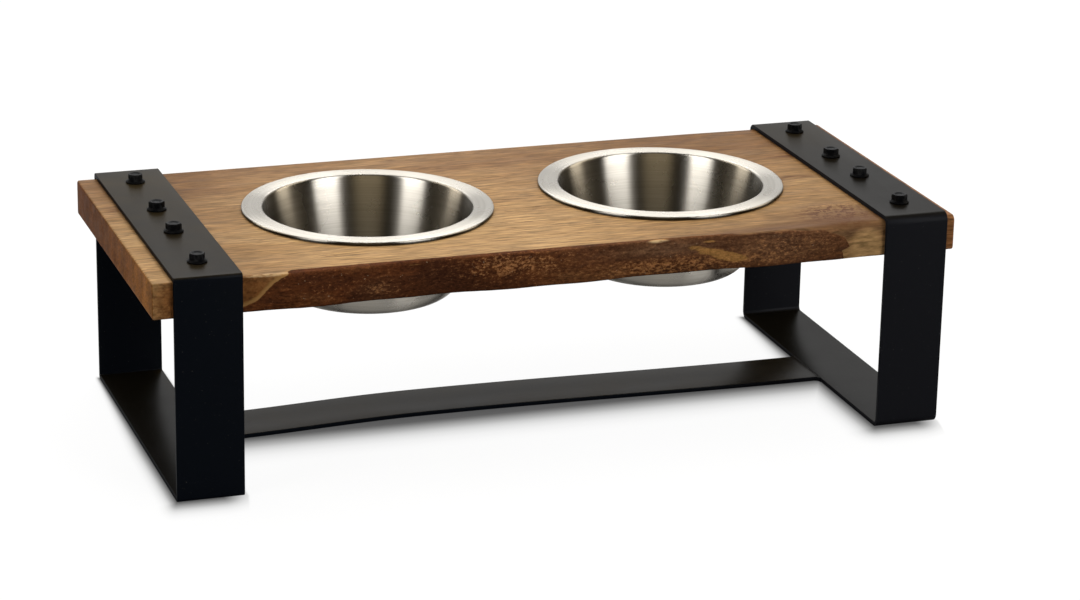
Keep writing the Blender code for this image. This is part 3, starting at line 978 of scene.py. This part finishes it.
@dataclass
class StrapScrews:
    """The eight hex washer-head screws, one shape set out by rule."""

    on_strap: int = 4
    seat: float = 0.1503
    outer_spacing: float = 0.182
    inner_spacing: float = 0.050
    first_turn: float = 11.0
    next_turn: float = 23.0
    shank: float = 0.0030
    length: float = 0.0226
    point: float = 0.0050
    tip: float = 0.00045
    flange: float = 0.0066
    flange_rim: float = 0.0008
    flange_height: float = 0.0016
    flat: float = 0.00475
    head: float = 0.0042
    chamfer: float = 0.0006
    dish: float = 0.0007
    hex_foot: float = 0.0003
    foot_flare: float = 0.0007
    ease: float = 0.0002
    corner_eased: float = 0.08
    steps: int = 48
    smooth_below: float = 28.0

    def hex_reach(self, angle: float) -> float:
        """How far the hexagon reaches, its corners a little eased.

        Args:
            angle: The angle in radians.

        Returns:
            The reach in metres.
        """
        reach = self.flat / math.cos(angle % (math.pi / 3) - math.pi / 6)
        corner = self.flat / math.cos(math.pi / 6)
        return min(reach, self.flat + (corner - self.flat) * (1 - self.corner_eased))

    def one_screw(self) -> Object:
        """One screw at the origin, its flange's underside at zero.

        Returns:
            The screw.
        """
        # Height, radius and how far it is a hexagon, from the dish down to the tip
        top = self.flange_height + self.head
        levels = (
            (top - self.dish, 0.45 * self.flat, 0.0),
            (top - 0.8 * self.dish, 0.58 * self.flat, 0.0),
            (top - 0.05 * self.dish, 0.76 * self.flat, 0.0),
            (top, 0.80 * self.flat, 0.0),
            (top, 0.94 * self.flat, 0.0),
            (top - 0.3 * self.chamfer, 0.99 * self.flat, 0.12),
            (top - self.chamfer, 0.0, 1.0),
            (self.flange_height + self.hex_foot, 0.0, 1.0),
            (self.flange_height, self.flat + self.foot_flare, 0.3),
            (self.flange_rim + self.ease, 0.94 * self.flange, 0.0),
            (self.flange_rim - self.ease, self.flange, 0.0),
            (self.ease, self.flange, 0.0),
            (0.0, self.flange - self.ease, 0.0),
            (0.0, self.shank, 0.0),
            (self.point - self.length, self.shank, 0.0),
            (-self.length, self.tip, 0.0),
        )
        rings = []
        for z, radius, hexed in levels:
            ring = []
            for angle in (FULL_TURN * step / self.steps for step in range(self.steps)):
                reach = radius + (self.hex_reach(angle) - radius) * hexed
                ring.append((reach * math.cos(angle), reach * math.sin(angle), z))
            rings.append(ring)
        screw = lay("one_screw", loft("one_screw", np.array(rings)))
        settle(screw, self.smooth_below)
        return screw

    def tree(self, sizes: Sizes) -> NodeTree:
        """The rule that sets the screws out: four along each strap, each turned further.

        Args:
            sizes: The tree's inputs.

        Returns:
            The geometry tree.
        """
        sheet = GeometrySheet("strap_screws", sizes)
        left, right, seat, outer, inner, first_turn, next_turn, screw, finish = sheet.given
        index = sheet.add("GeometryNodeInputIndex")
        from_middle = index % float(self.on_strap) - (self.on_strap - 1) / 2
        spacing = (outer - inner).times_plus(abs(from_middle).above(1.0), inner)
        y = spacing * 0.5 * from_middle.sign()
        x = (right - left).times_plus(index.above(self.on_strap - 0.5), left)
        inputs = {"Count": 2 * self.on_strap, "Position": sheet.point(x, y, seat)}
        points = sheet.add("GeometryNodePoints", inputs)
        turn = next_turn.times_plus(index, first_turn)
        shape = sheet.add("GeometryNodeObjectInfo", {"Object": screw}, "Geometry", transform_space="ORIGINAL")
        inputs = {"Points": points, "Instance": shape, "Rotation": sheet.point(0.0, 0.0, turn)}
        return sheet.take(sheet.add("GeometryNodeInstanceOnPoints", inputs), finish)

    def build(self, finish: Material) -> None:
        """Make the screws and hand them to the frame.

        Args:
            finish: The black plating.
        """
        screw = self.one_screw()
        sizes = {
            "Left Strap X": STAND.strap_x[Side.LEFT], "Right Strap X": STAND.strap_x[Side.RIGHT],
            "Seat": self.seat, "Outer Spacing": self.outer_spacing, "Inner Spacing": self.inner_spacing,
            "First Turn": math.radians(self.first_turn), "Next Turn": math.radians(self.next_turn),
            "Screw": screw, "Finish": finish,
        }
        screws = grow("strap_screws", self.tree(sizes), sizes)
        bpy.data.objects.remove(screw)
        nodes = [f"{side.value}_screw_{number + 1}" for side in Side for number in range(self.on_strap)]
        hand_over(screws, "stand", nodes)


def arc(centre: Pair | Vector, radius: float, start: float, end: float, steps: int) -> list[Pair]:
    """Points on an arc from one angle in degrees to another, both ends included."""
    turns = (math.radians(start + (end - start) * step / steps) for step in range(steps + 1))
    return [(centre[0] + radius * math.cos(turn), centre[1] + radius * math.sin(turn)) for turn in turns]


@dataclass
class DropInBowls:
    """The two stainless bowls, turned from one section."""

    rim_top: float = 0.1492
    opening: float = 0.0703
    rim: float = 0.0846
    depth: float = 0.060
    base: float = 0.04875
    base_radius: float = 0.014
    sheet: float = 0.0008
    lip_radius: float = 0.0020
    rim_height: float = 0.0025
    hem_radius: float = 0.0013
    hem_ease: float = 0.0002
    hem_lift: float = 0.0003
    floor_shares: tuple[float, ...] = (0.0, 0.25, 0.5, 0.75)
    steps: int = 192
    base_steps: int = 12
    wall_steps: int = 6
    lip_steps: tuple[int, int] = (8, 6)
    hem_steps: tuple[int, int] = (6, 3)
    smooth_below: float = 50.0

    def wall(self, start: Pair, onward: list[Pair]) -> list[Pair]:
        """Points up a straight wall from a start, and those that follow it."""
        run = np.linspace(start, onward[0], self.wall_steps + 1)[1:-1]
        return [tuple(point) for point in run.tolist()] + onward

    def section(self) -> list[Pair]:
        """The bowl's section as radius and height, from the inner floor over the rim.

        Returns:
            The points, the first and last on the axis.
        """
        base_centre = Vector((self.base, self.base_radius - self.depth))
        lip_centre = Vector((self.opening + self.lip_radius, -self.lip_radius))
        hem_centre = Vector((self.rim - self.hem_radius, -self.hem_radius))
        between = lip_centre - base_centre
        radii = self.base_radius - self.sheet + self.lip_radius
        lean = math.degrees(math.atan2(between.x, between.y) - math.asin(radii / between.length))
        foot, ease = self.hem_lift - self.rim_height, self.hem_ease
        inside = [(self.base * share, self.sheet - self.depth) for share in self.floor_shares]
        inside += arc(base_centre, self.base_radius - self.sheet, -90, -lean, self.base_steps)
        inside += self.wall(inside[-1], arc(lip_centre, self.lip_radius, 180 - lean, 90, self.lip_steps[0]))
        inside += arc(hem_centre, self.hem_radius, 90, 0, self.hem_steps[0])
        inside += [(self.rim, foot + ease), (self.rim - ease, foot), (self.rim - self.sheet, foot)]
        outside = arc(hem_centre, self.hem_radius - self.sheet, 0, 90, self.hem_steps[1])
        outside += arc(lip_centre, self.lip_radius - self.sheet, 90, 180 - lean, self.lip_steps[1])
        outside += self.wall(outside[-1], arc(base_centre, self.base_radius, -lean, -90, self.base_steps))
        outside += [(self.base * share, -self.depth) for share in reversed(self.floor_shares)]
        return inside + outside

    def lengths(self) -> Array:
        """How far along the section each of its points lies."""
        steps = np.diff(np.array(self.section()), axis=0)
        return np.concatenate([[0.0], np.cumsum(np.hypot(*steps.T))])

    def hem(self) -> Pair:
        """Find the turned-down edge.

        Returns:
            Where it starts and ends along the section.
        """
        outermost = self.rim - 0.3 * self.hem_radius
        turned = [at for at, (radius, _) in zip(self.lengths(), self.section()) if radius > outermost]
        return turned[0], turned[-1]

    def mesh(self, name: str, x: float) -> Mesh:
        """Turn the section about the bowl's axis, with a map for the brush lines.

        Args:
            name: The mesh's name.
            x: The axis's place along the board.

        Returns:
            The mesh, in its place.
        """
        y, gone = STAND.bowl_y, self.lengths()
        bm = bmesh.new()
        uv = bm.loops.layers.uv.new("round")
        rings = []
        for radius, z in self.section():
            ring = []
            for step in range(1 if radius == 0.0 else self.steps):
                turn = FULL_TURN * step / self.steps
                place = (x + radius * math.cos(turn), y + radius * math.sin(turn), self.rim_top + z)
                ring.append(bm.verts.new(place))
            rings.append(ring)
        for row, (first, second) in enumerate(zip(rings, rings[1:])):
            for step in range(self.steps):
                corners = [(first, step, 0), (first, step + 1, 0), (second, step + 1, 1), (second, step, 1)]
                if len(first) == 1:
                    corners = [(first, step + 0.5, 0), *corners[2:]]
                if len(second) == 1:
                    corners = [*corners[:2], (second, step + 0.5, 1)]
                face = bm.faces.new([ring[int(at) % len(ring)] for ring, at, _ in corners])
                for loop, (_, at, later) in zip(face.loops, corners):
                    loop[uv].uv = (at / self.steps, gone[row + later])
        return mesh_of(name, bm)

    def build(self, finish: Material) -> None:
        """Make both bowls and hand them to the frame.

        Args:
            finish: The brushed steel.
        """
        for side, x in STAND.bowl_x.items():
            name = f"{side.value}_brushed_bowl"
            bowl = lay(name, self.mesh(name, x), finish)
            settle(bowl, self.smooth_below)
            hand_over(bowl, f"{side.value}_bowl", [f"{side.value}_bowl"])


def smooth_step(value: Array | float, start: float, end: float) -> Array | float:
    """0 before start, 1 after end, and a smooth rise between."""
    share = np.clip((value - start) / (end - start), 0.0, 1.0)
    return share * share * (3 - 2 * share)


@dataclass
class LiveEdgeBoard:
    """The board, its bark edge carved in the front face, and its holes."""

    length: float = 0.550
    thickness: float = 0.024
    top: float = 0.1467
    front: float = -0.1182
    back: float = 0.1173
    ease: float = 0.0014
    left_inner_radius: float = 0.0008
    right_inner_radius: float = 0.0028
    left_strap_inside: float = -0.2176
    right_strap_inside: float = 0.2236
    left_margin: float = 0.004
    right_margin: float = 0.012
    rise: float = 0.030
    fade: float = 0.032
    swell: float = 0.0014
    swell_length: float = 0.170
    ripple: float = 0.0007
    ripple_length: float = 0.061
    ripple_lean: float = 2.0
    belly: float = 0.0012
    furthest_out: float = 0.0031
    shoulder: float = 0.0075
    shoulder_lead: float = 0.028
    shoulder_run: float = 0.060
    shoulder_at_end: float = 0.0035
    station: float = 0.0009
    end_steps: int = 4
    face_rows: int = 26
    strip: float = 0.016
    strip_rows: int = 12
    under_rows: int = 4
    bowl_hole: float = 0.0737
    bowl_steps: int = 128
    strap_hold: float = 0.003
    pilot_radius: float = 0.0034
    pilot_steps: int = 20
    pilot_floor: float = 0.1274
    smooth_below: float = 40.0

    # Steps round the section's edges: low and high at the back, high and low at the front
    edge_steps: tuple[int, int, int, int] = (3, 4, 9, 4)

    # How wide the bark's cover fades at its edge, how far behind the front it is looked for, and how
    # far behind the front and below the top it starts to run on over the edge
    cover_fade: float = 0.008
    cover_depth: float = 0.012
    over_from: float = 0.002
    over_below: float = 0.004

    # Outline of the bark on the front face, as (x, z) in millimetres
    bark_outline: tuple[Pair, ...] = (
        (-219, 118), (-218, 126.4), (-212.4, 128.2), (-207.3, 130.3), (-203.3, 134.6),
        (-198.1, 140.1), (-192.9, 143.7), (-187.7, 146.5), (-184, 150), (-60, 149.5),
        (60, 149), (108, 147.6), (119, 146.4), (156, 145.8), (179, 144.3), (194, 138.7),
        (198.3, 131.4), (192.4, 129), (194.7, 123), (195, 118),
    )
    # How far the bark stands out in millimetres, and the cover between which its relief sets in
    bark_lift: float = 0.15
    bark_edge: Pair = (0.42, 0.62)
    # Ridges, lumps and grit on the bark, and last the saw's marks beside it: the height in millimetres,
    # the repeats in a metre along and up, the finer layers and the seed
    bark_forms: tuple[tuple[float, Pair, int, float], ...] = (
        (0.30, (30.0, 190.0), 3, 1.0), (0.16, (120.0, 260.0), 3, 2.0), (0.07, (520.0, 620.0), 2, 3.0),
        (0.05, (300.0, 900.0), 2, 4.0),
    )
    # Patches on the bark: x and z of their middle, their reach along and up, all in millimetres,
    # and how much of them shows
    bark_patches: tuple[tuple[str, tuple[tuple[float, ...], ...]], ...] = (
        ("bark_dark", ((-86, 136, 24, 14, 0.85), (-60, 127, 30, 5, 0.5),
                       (30, 145, 40, 3, 0.5), (110, 139, 14, 4, 0.4))),
        ("bark_grey", ((64, 141, 40, 6, 0.75), (150, 136, 45, 14, 0.55),
                       (-128, 131, 14, 7, 0.45))),
        ("bark_tan", ((-40, 139, 38, 8, 0.9), (70, 129, 58, 6, 1),
                      (-129, 132, 14, 7, 0.6), (155, 135, 40, 12, 0.55),
                      (-165, 133, 20, 7, 0.3))),
        ("bark_ochre", ((117, 130.5, 9, 3.2, 1.1), (107, 133.3, 8, 2.8, 1.1),
                        (97, 136.6, 8, 2.3, 1.1), (87, 139.8, 7, 1.8, 1),
                        (98, 143, 5.5, 0.9, 1), (62, 147, 9, 1.2, 0.9),
                        (-104, 144.5, 10, 0.7, 0.6))),
    )

    @staticmethod
    def clouds(x: Array, z: Array, height: float, scale: Pair, layers: int, seed: float) -> Array:
        """Cloudy noise over the front face in metres about zero, the same in each run."""
        spots = zip((x * scale[0]).tolist(), (z * scale[1]).tolist())
        return height * MM * np.array([noise.fractal((*spot, seed), 1.0, 2.0, layers) for spot in spots])

    def relief(self, x: Array, z: Array) -> Array:
        """How far the bark side's main form stands out from the sawn plane.

        Args:
            x: Places along the board in metres.
            z: Heights in metres.

        Returns:
            The form's height at each place.
        """
        start = self.left_strap_inside + self.left_margin
        end = self.right_strap_inside - self.right_margin
        share = (z - (self.top - self.thickness)) / self.thickness
        swell = self.swell * np.cos(FULL_TURN * (x - start - self.rise) / self.swell_length)
        ripple = self.ripple * np.sin(FULL_TURN * x / self.ripple_length + self.ripple_lean * share)
        belly = self.belly * np.sin(math.pi * share)
        here = smooth_step(x, start, start + self.rise) * (1 - smooth_step(x, end - self.fade, end))
        return here * (swell + ripple + belly)

    def bark_cover(self, x: Array, z: Array) -> Array:
        """How far inside the bark a place is, as a share that is a half on its edge.

        Args:
            x: Places along the board in metres.
            z: Heights in metres, running on over the top edge.

        Returns:
            0 well outside, 1 well inside.
        """
        corners = np.array(self.bark_outline) * MM
        nearest = np.full(x.shape, np.inf)
        inside = np.zeros(x.shape, bool)
        for (ax, az), (bx, bz) in zip(corners, np.roll(corners, -1, axis=0)):
            run = np.array([bx - ax, bz - az])
            along = np.clip(((x - ax) * run[0] + (z - az) * run[1]) / (run @ run), 0.0, 1.0)
            nearest = np.minimum(nearest, np.hypot(x - ax - along * run[0], z - az - along * run[1]))
            with np.errstate(divide="ignore", invalid="ignore"):
                at = ax + (z - az) * run[0] / run[1]
            inside ^= ((az > z) != (bz > z)) & (x < at)
        return np.clip(0.5 + np.where(inside, nearest, -nearest) / self.cover_fade, 0.0, 1.0)

    def unrolled(self, y: Array, z: Array) -> Array:
        """A height that runs on over the top's front edge."""
        return z + np.maximum(0.0, y - self.front - self.over_from) * (z > self.top - self.over_below)

    def shoulder_radius(self, x: float) -> float:
        """The rounding of the front top edge.

        Args:
            x: The place along the board.

        Returns:
            The radius there.
        """
        full = self.right_strap_inside - self.shoulder_lead
        up = smooth_step(x, full - self.shoulder_run, full)
        down = smooth_step(x, self.right_strap_inside, self.length / 2)
        left = max(self.ease, self.left_inner_radius)
        return left + (self.shoulder - left) * up - (self.shoulder - self.shoulder_at_end) * down

    def back_radius(self, x: float) -> float:
        """The rounding of the back top edge.

        Args:
            x: The place along the board.

        Returns:
            The radius there.
        """
        left, right = max(self.ease, self.left_inner_radius), max(self.ease, self.right_inner_radius)
        start = self.right_strap_inside - self.shoulder_run
        return left + (right - left) * smooth_step(x, start, self.right_strap_inside)

    def section(self, x: float, inset: float) -> list[Pair]:
        """The board's outline across its length, before the bark is carved.

        Args:
            x: The place along the board.
            inset: How far the outline is shrunk, at the ends.

        Returns:
            The points as y and z.
        """
        back, front = self.back - inset, self.front + inset
        top, bottom = self.top - inset, self.top - self.thickness + inset
        rear, nose, ease = self.back_radius(x), self.shoulder_radius(x), self.ease
        edge, low = front + self.strip, bottom + ease
        back_low, back_high, front_high, front_low = self.edge_steps
        points = arc((back - ease, low), ease, -90, 0, back_low)
        points += arc((back - rear, top - rear), rear, 0, 90, back_high)
        points += [(y, top) for y in np.linspace(edge, front + nose, self.strip_rows)[:-1].tolist()]
        points += arc((front + nose, top - nose), nose, 90, 180, front_high)
        points += [(front, z) for z in np.linspace(top - nose, low, self.face_rows)[1:-1].tolist()]
        points += arc((front + ease, low), ease, 180, 270, front_low)
        points += [(y, bottom) for y in np.linspace(front + ease, edge, self.under_rows + 1)[1:].tolist()]
        return points

    def carve(self, points: Array) -> None:
        """Push the front edge's points out or in to the bark's form.

        Args:
            points: The board's points, one row each.
        """
        x, y, z = points.T
        near = smooth_step(-y, -self.front - 2 * self.shoulder, -self.front)
        front = y < self.front + 2 * self.shoulder
        fine = np.zeros(len(points))
        fx, fz = x[front], z[front]
        cover = smooth_step(self.bark_cover(fx, self.unrolled(y[front], fz)), *self.bark_edge)
        *bark, saw = (self.clouds(fx, fz, *form) for form in self.bark_forms)
        fine[front] = cover * (self.bark_lift * MM + sum(bark)) + (1 - cover) * saw
        hold = smooth_step(x, self.left_strap_inside, self.left_strap_inside + self.strap_hold)
        hold *= 1 - smooth_step(x, self.right_strap_inside - self.strap_hold, self.right_strap_inside)
        points[:, 1] -= np.minimum(near * (self.relief(x, z) + hold * fine), self.furthest_out)

    def blank(self) -> Mesh:
        """The whole board before its holes.

        Returns:
            The mesh.
        """
        inner_end = self.length / 2 - self.ease
        count = round(2 * inner_end / self.station)
        turns = [math.radians(90 * step / self.end_steps) for step in range(self.end_steps)]
        rounded = [(-inner_end - self.ease * math.cos(t), self.ease * (1 - math.sin(t))) for t in turns]
        stations = [*rounded, *((x, 0.0) for x in np.linspace(-inner_end, inner_end, count + 1).tolist())]
        stations += [(-x, inset) for x, inset in reversed(rounded)]
        rings = np.array([[(x, y, z) for y, z in self.section(x, inset)] for x, inset in stations])
        self.carve(rings.reshape(-1, 3))
        return loft("live_edge_board", rings)

    def mark(self, mesh: Mesh) -> None:
        """Write on the mesh where the bark lies, and where it is dark, grey, tan or ochre.

        Args:
            mesh: The board's finished mesh.
        """
        points = np.empty(3 * len(mesh.vertices))
        mesh.vertices.foreach_get("co", points)
        x, y, z = points.reshape(-1, 3).T
        height = self.unrolled(y, z)
        near = y < self.front + self.cover_depth
        layers = {"bark": np.zeros(len(x))}
        layers["bark"][near] = self.bark_cover(x[near], height[near])
        for name, patches in self.bark_patches:
            total = np.zeros(len(x))
            for px, pz, reach_x, reach_z, amount in patches:
                far = ((x / MM - px) / reach_x) ** 2 + ((height / MM - pz) / reach_z) ** 2
                total += amount * np.exp(-far)
            layers[name] = np.clip(total, 0.0, 1.0)
        for name, values in layers.items():
            layer = mesh.attributes.new(name, "FLOAT", "POINT")
            layer.data.foreach_set("value", values.astype(np.float32))

    def build(self, finish: Material) -> None:
        """Make the board and hand it to the frame.

        Args:
            finish: The wood and bark.
        """
        board = lay("live_edge_board", self.blank(), finish)
        settle(board, self.smooth_below)
        below, tall = self.top - self.thickness - self.ease, self.thickness + 2 * self.ease
        deep = self.top - self.pilot_floor + self.ease
        bowls = [(x, STAND.bowl_y, below) for x in STAND.bowl_x.values()]
        drill(board, [(foot, self.bowl_hole, tall) for foot in bowls], self.bowl_steps)
        pilots = [(x, y, self.pilot_floor) for x in STAND.strap_x.values() for y in STAND.screw_rows]
        drill(board, [(foot, self.pilot_radius, deep) for foot in pilots], self.pilot_steps)
        self.mark(board.data)
        settle(board, self.smooth_below)
        hand_over(board, "stand", ["wooden_top"])


@dataclass(frozen=True)
class PhotoCamera:
    """The photograph's own view."""

    location: Triple = (-0.6986, -2.0780, 0.8117)
    lens: float = 112.489
    pitch: float = 18.6091
    yaw: float = 19.1141
    roll: float = -1.1023

    def build(self) -> None:
        """Put the camera in the scene and make it the active one."""
        place = Matrix.Translation(self.location)
        for turn, axis in ((-self.yaw, "Z"), (90.0 - self.pitch, "X"), (-self.roll, "Z")):
            place @= Matrix.Rotation(math.radians(turn), 4, axis)
        data = bpy.data.cameras.new("photo_camera")
        data.lens = self.lens
        camera = bpy.data.objects.new("photo_camera", data)
        camera.matrix_world = place
        bpy.context.scene.collection.objects.link(camera)
        bpy.context.scene.camera = camera


@dataclass(frozen=True)
class StudioFloor(Finish):
    """A floor that is white to the eye, less so in mirrors, and carries the stand's soft shadow."""

    name = "studio_floor"

    tone: Pair = (0.075, 0.085)
    glow: float = 0.93
    mirrored_glow: float = 0.365
    shadow_right: float = 0.004
    shadow_thins: float = 0.034
    shadow_behind: float = 0.007
    shadow_slant: float = 0.22

    # Towards the back of a footprint the shadow on its left narrows to a share, over a length
    narrow_share: float = 0.30
    narrow_run: float = 0.15

    # Where the stand meets the floor: left, right, front, back, the shadow's reach forward and to the
    # left, and how far before its right end it starts to thin out
    footprints: tuple[tuple[float, ...], ...] = (
        (-0.2620, -0.2176, -0.1205, 0.1205, 0.031, 0.0135, 0.014),
        (0.2236, 0.2680, -0.1195, 0.1205, 0.033, 0.025, 0.014),
        (-0.2176, 0.2236, -0.0222, 0.0222, 0.050, 0.015, 0.0),
    )
    # How bright the floor is, from the shadow's root out to its end
    contact: tuple[Pair, ...] = (
        (0.0, 0.10), (0.08, 0.18), (0.27, 0.45), (0.38, 0.64), (0.50, 0.79), (0.66, 0.91), (0.84, 0.975),
        (1.0, 1.0),
    )

    def paint(self, sheet: ShaderSheet) -> None:
        """Lay out the floor's own tone, and its glow dimmed by the shadow.

        Args:
            sheet: The material's sheet.
        """
        tone = sheet.noise((3, 3, 3)).span(0.3, 0.7, *self.tone)
        shade = sheet.add("ShaderNodeBsdfDiffuse", {"Color": tone})
        contact = sheet.ramp(self.clear_of_stand(sheet), *((at, (level,) * 3) for at, level in self.contact))
        glossy, through, seen = sheet.rays("Is Glossy Ray", "Is Transmission Ray", "Is Camera Ray")
        shown = seen.most(glossy.most(through) * self.mirrored_glow)
        light = sheet.add("ShaderNodeEmission", {"Color": contact, "Strength": shown * self.glow})
        sheet.end("ShaderNodeOutputMaterial", sheet.add("ShaderNodeAddShader", {0: shade, 1: light}))

    def clear_of_stand(self, sheet: ShaderSheet) -> Wire:
        """How far a place on the floor is from the shadow's root: 0 at the stand, 1 out of its reach.

        Args:
            sheet: The floor's sheet.

        Returns:
            The share.
        """
        x, y, _ = sheet.place().parts()
        clear = 1.0
        for left, right, front, back, reach, aside, thin in self.footprints:
            ahead = (front - y).most(0.0)
            across = ahead.times_plus(self.shadow_slant, x)
            along = (ahead / reach).most((y - back) / self.shadow_behind)
            wide = y.span(back, back - self.narrow_run, self.narrow_share * aside, aside)
            on_right = (across - right) / self.shadow_right
            thinned = (across - (right - thin)) / self.shadow_thins
            over = ((left - across) / wide).most(on_right).most(thinned.most(0.0))
            clear = sheet.math("MINIMUM", clear, (along * along + over * over).root())
        return clear


@dataclass(frozen=True)
class Studio:
    """A white floor in a room of soft boxes with dark gaps between, under a large lamp."""

    floor_size: float = 14.0
    floor_z: float = -0.0002
    overhead: float = 0.06
    overhead_tint: Colour = (1.0, 0.985, 0.955)
    later_dims: float = 0.88
    later_from: float = 1.5
    brightest: float = 4.4
    low_to_high: Pair = (0.38, 0.46)
    high_to_ceiling: Pair = (0.76, 0.86)
    green_lost: float = 0.20
    blue_lost: float = 0.52

    # The room by compass turn, in degrees from the front towards the right: its level near the floor
    # and higher up, and its warmth where the level does not give it
    room: tuple[tuple[float | None, ...], ...] = (
        (-180, 0.75, 2, 0), (-160, 0.75, 1, 0), (-149, 0.04, 0.04), (-142, 0.10, 0.10),
        (-136, 2.3, 1.9, 0.4), (-123, 2.3, 1.9, 0.4), (-115, 0.02, 0.02), (-85, 0.02, 0.02),
        (-78, 4.3, 3.6), (-59, 4.3, 3.6), (-53, 0.01, 0.01), (-38, 0.05, 0.04),
        (-28, 0.44, 0.27, 0.9), (-8, 0.44, 0.27, 0.9), (4, 0.08, 0.05), (14, 0.05, 0.04),
        (21, 4.3, 3.6), (44, 4.2, 3.6), (49, 0.01, 0.01), (78, 0.02, 0.02),
        (87, 2.3, 1.9, 0.5), (98, 2.3, 1.9, 0.5), (106, 0.12, 0.08), (125, 0.10, 0.10),
        (138, None, 1), (142, 0.75, None, 0), (150, None, 3.5), (172, None, 3.5),
        (180, 0.75, 2, 0),
    )

    lamp_size: Pair = (2.4, 2.0)
    lamp_power: float = 38.0
    lamp_tint: Colour = (1.0, 0.985, 0.96)
    lamp_at: Triple = (0.30, 0.45, 1.9)
    lamp_aim: Triple = (0.0, 0.0, 0.1)

    def build_floor(self) -> None:
        """Lay the floor."""
        half, z = self.floor_size / 2, self.floor_z
        mesh = bpy.data.meshes.new("studio_floor")
        corners = [(-half, -half, z), (half, -half, z), (half, half, z), (-half, half, z)]
        mesh.from_pydata(corners, [], [(0, 1, 2, 3)])
        lay("studio_floor", mesh, StudioFloor().build())

    def stops(self, column: int) -> list[tuple[float, Colour]]:
        """Marks on a run of colours for the room's levels, warmer where they are dark.

        Args:
            column: Which of the room's columns holds the levels.

        Returns:
            A place and a colour for each level.
        """
        marks = []
        for row in self.room:
            level = row[column]
            if level is not None:
                warm = row[3] if len(row) > 3 else max(0.0, 1.0 - level)
                colour = (level, level * (1 - self.green_lost * warm), level * (1 - self.blue_lost * warm))
                marks.append(((row[0] + 180.0) / 360.0, tuple(part / self.brightest for part in colour)))
        return marks

    def build_world(self) -> None:
        """Light the room: soft boxes by compass turn, dark overhead, white to the camera."""
        world = bpy.data.worlds.new("studio_room")
        bpy.context.scene.world = world
        sheet = ShaderSheet(world)
        x, y, z = sheet.add("ShaderNodeTexCoord", out="Generated").parts()
        share = sheet.math("ARCTAN2", x, y * -1.0).span(-math.pi, math.pi)
        low, high = (sheet.ramp(share, *self.stops(column)) for column in (1, 2))
        room = low.under(high, z.span(*self.low_to_high, smooth=True))
        glossy, diffuse, through, depth, seen = sheet.rays(
            "Is Glossy Ray", "Is Diffuse Ray", "Is Transmission Ray", "Ray Depth", "Is Camera Ray"
        )
        later = (depth - glossy.most(diffuse).most(through)).above(self.later_from)
        room = room.under((0.0, 0.0, 0.0), later * self.later_dims)
        ceiling = tuple(self.overhead / self.brightest * part for part in self.overhead_tint)
        room = room.under(ceiling, z.span(*self.high_to_ceiling, smooth=True))
        room = room.under((1.0 / self.brightest,) * 3, seen)
        back = sheet.add("ShaderNodeBackground", {"Color": room, "Strength": self.brightest})
        sheet.end("ShaderNodeOutputWorld", back)

    def build_lamp(self) -> None:
        """Hang the large soft lamp over the stand, a little behind it, out of the steel's sight."""
        data = bpy.data.lights.new("overhead_softbox", "AREA")
        data.shape = "RECTANGLE"
        data.size, data.size_y = self.lamp_size
        data.energy = self.lamp_power
        data.color = self.lamp_tint
        lamp = bpy.data.objects.new("overhead_softbox", data)
        lamp.visible_glossy = False
        lamp.location = self.lamp_at
        lamp.rotation_euler = (Vector(self.lamp_aim) - lamp.location).to_track_quat("-Z", "Y").to_euler()
        bpy.context.scene.collection.objects.link(lamp)

    def build(self) -> None:
        """Set the studio up."""
        bpy.context.scene.view_settings.view_transform = "Standard"
        self.build_floor()
        self.build_world()
        self.build_lamp()


def main() -> None:
    """Dress the frame: build each piece in order, then the studio and the camera."""
    logging.basicConfig(level=logging.INFO, format="%(name)s: %(message)s")
    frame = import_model()
    LOG.info("frame: %s", type(frame).__name__)
    powder_coat = PowderCoat().build()
    LiveEdgeBoard().build(LiveEdgeWood().build())
    FlatBarHoops().build(powder_coat)
    FloorBar().build(powder_coat)
    StrapScrews().build(BlackScrewPlate().build())
    bowls = DropInBowls()
    bowls.build(BrushedStainless(bowls.hem()).build())
    Studio().build()
    PhotoCamera().build()


if __name__ == "__main__":
    main()
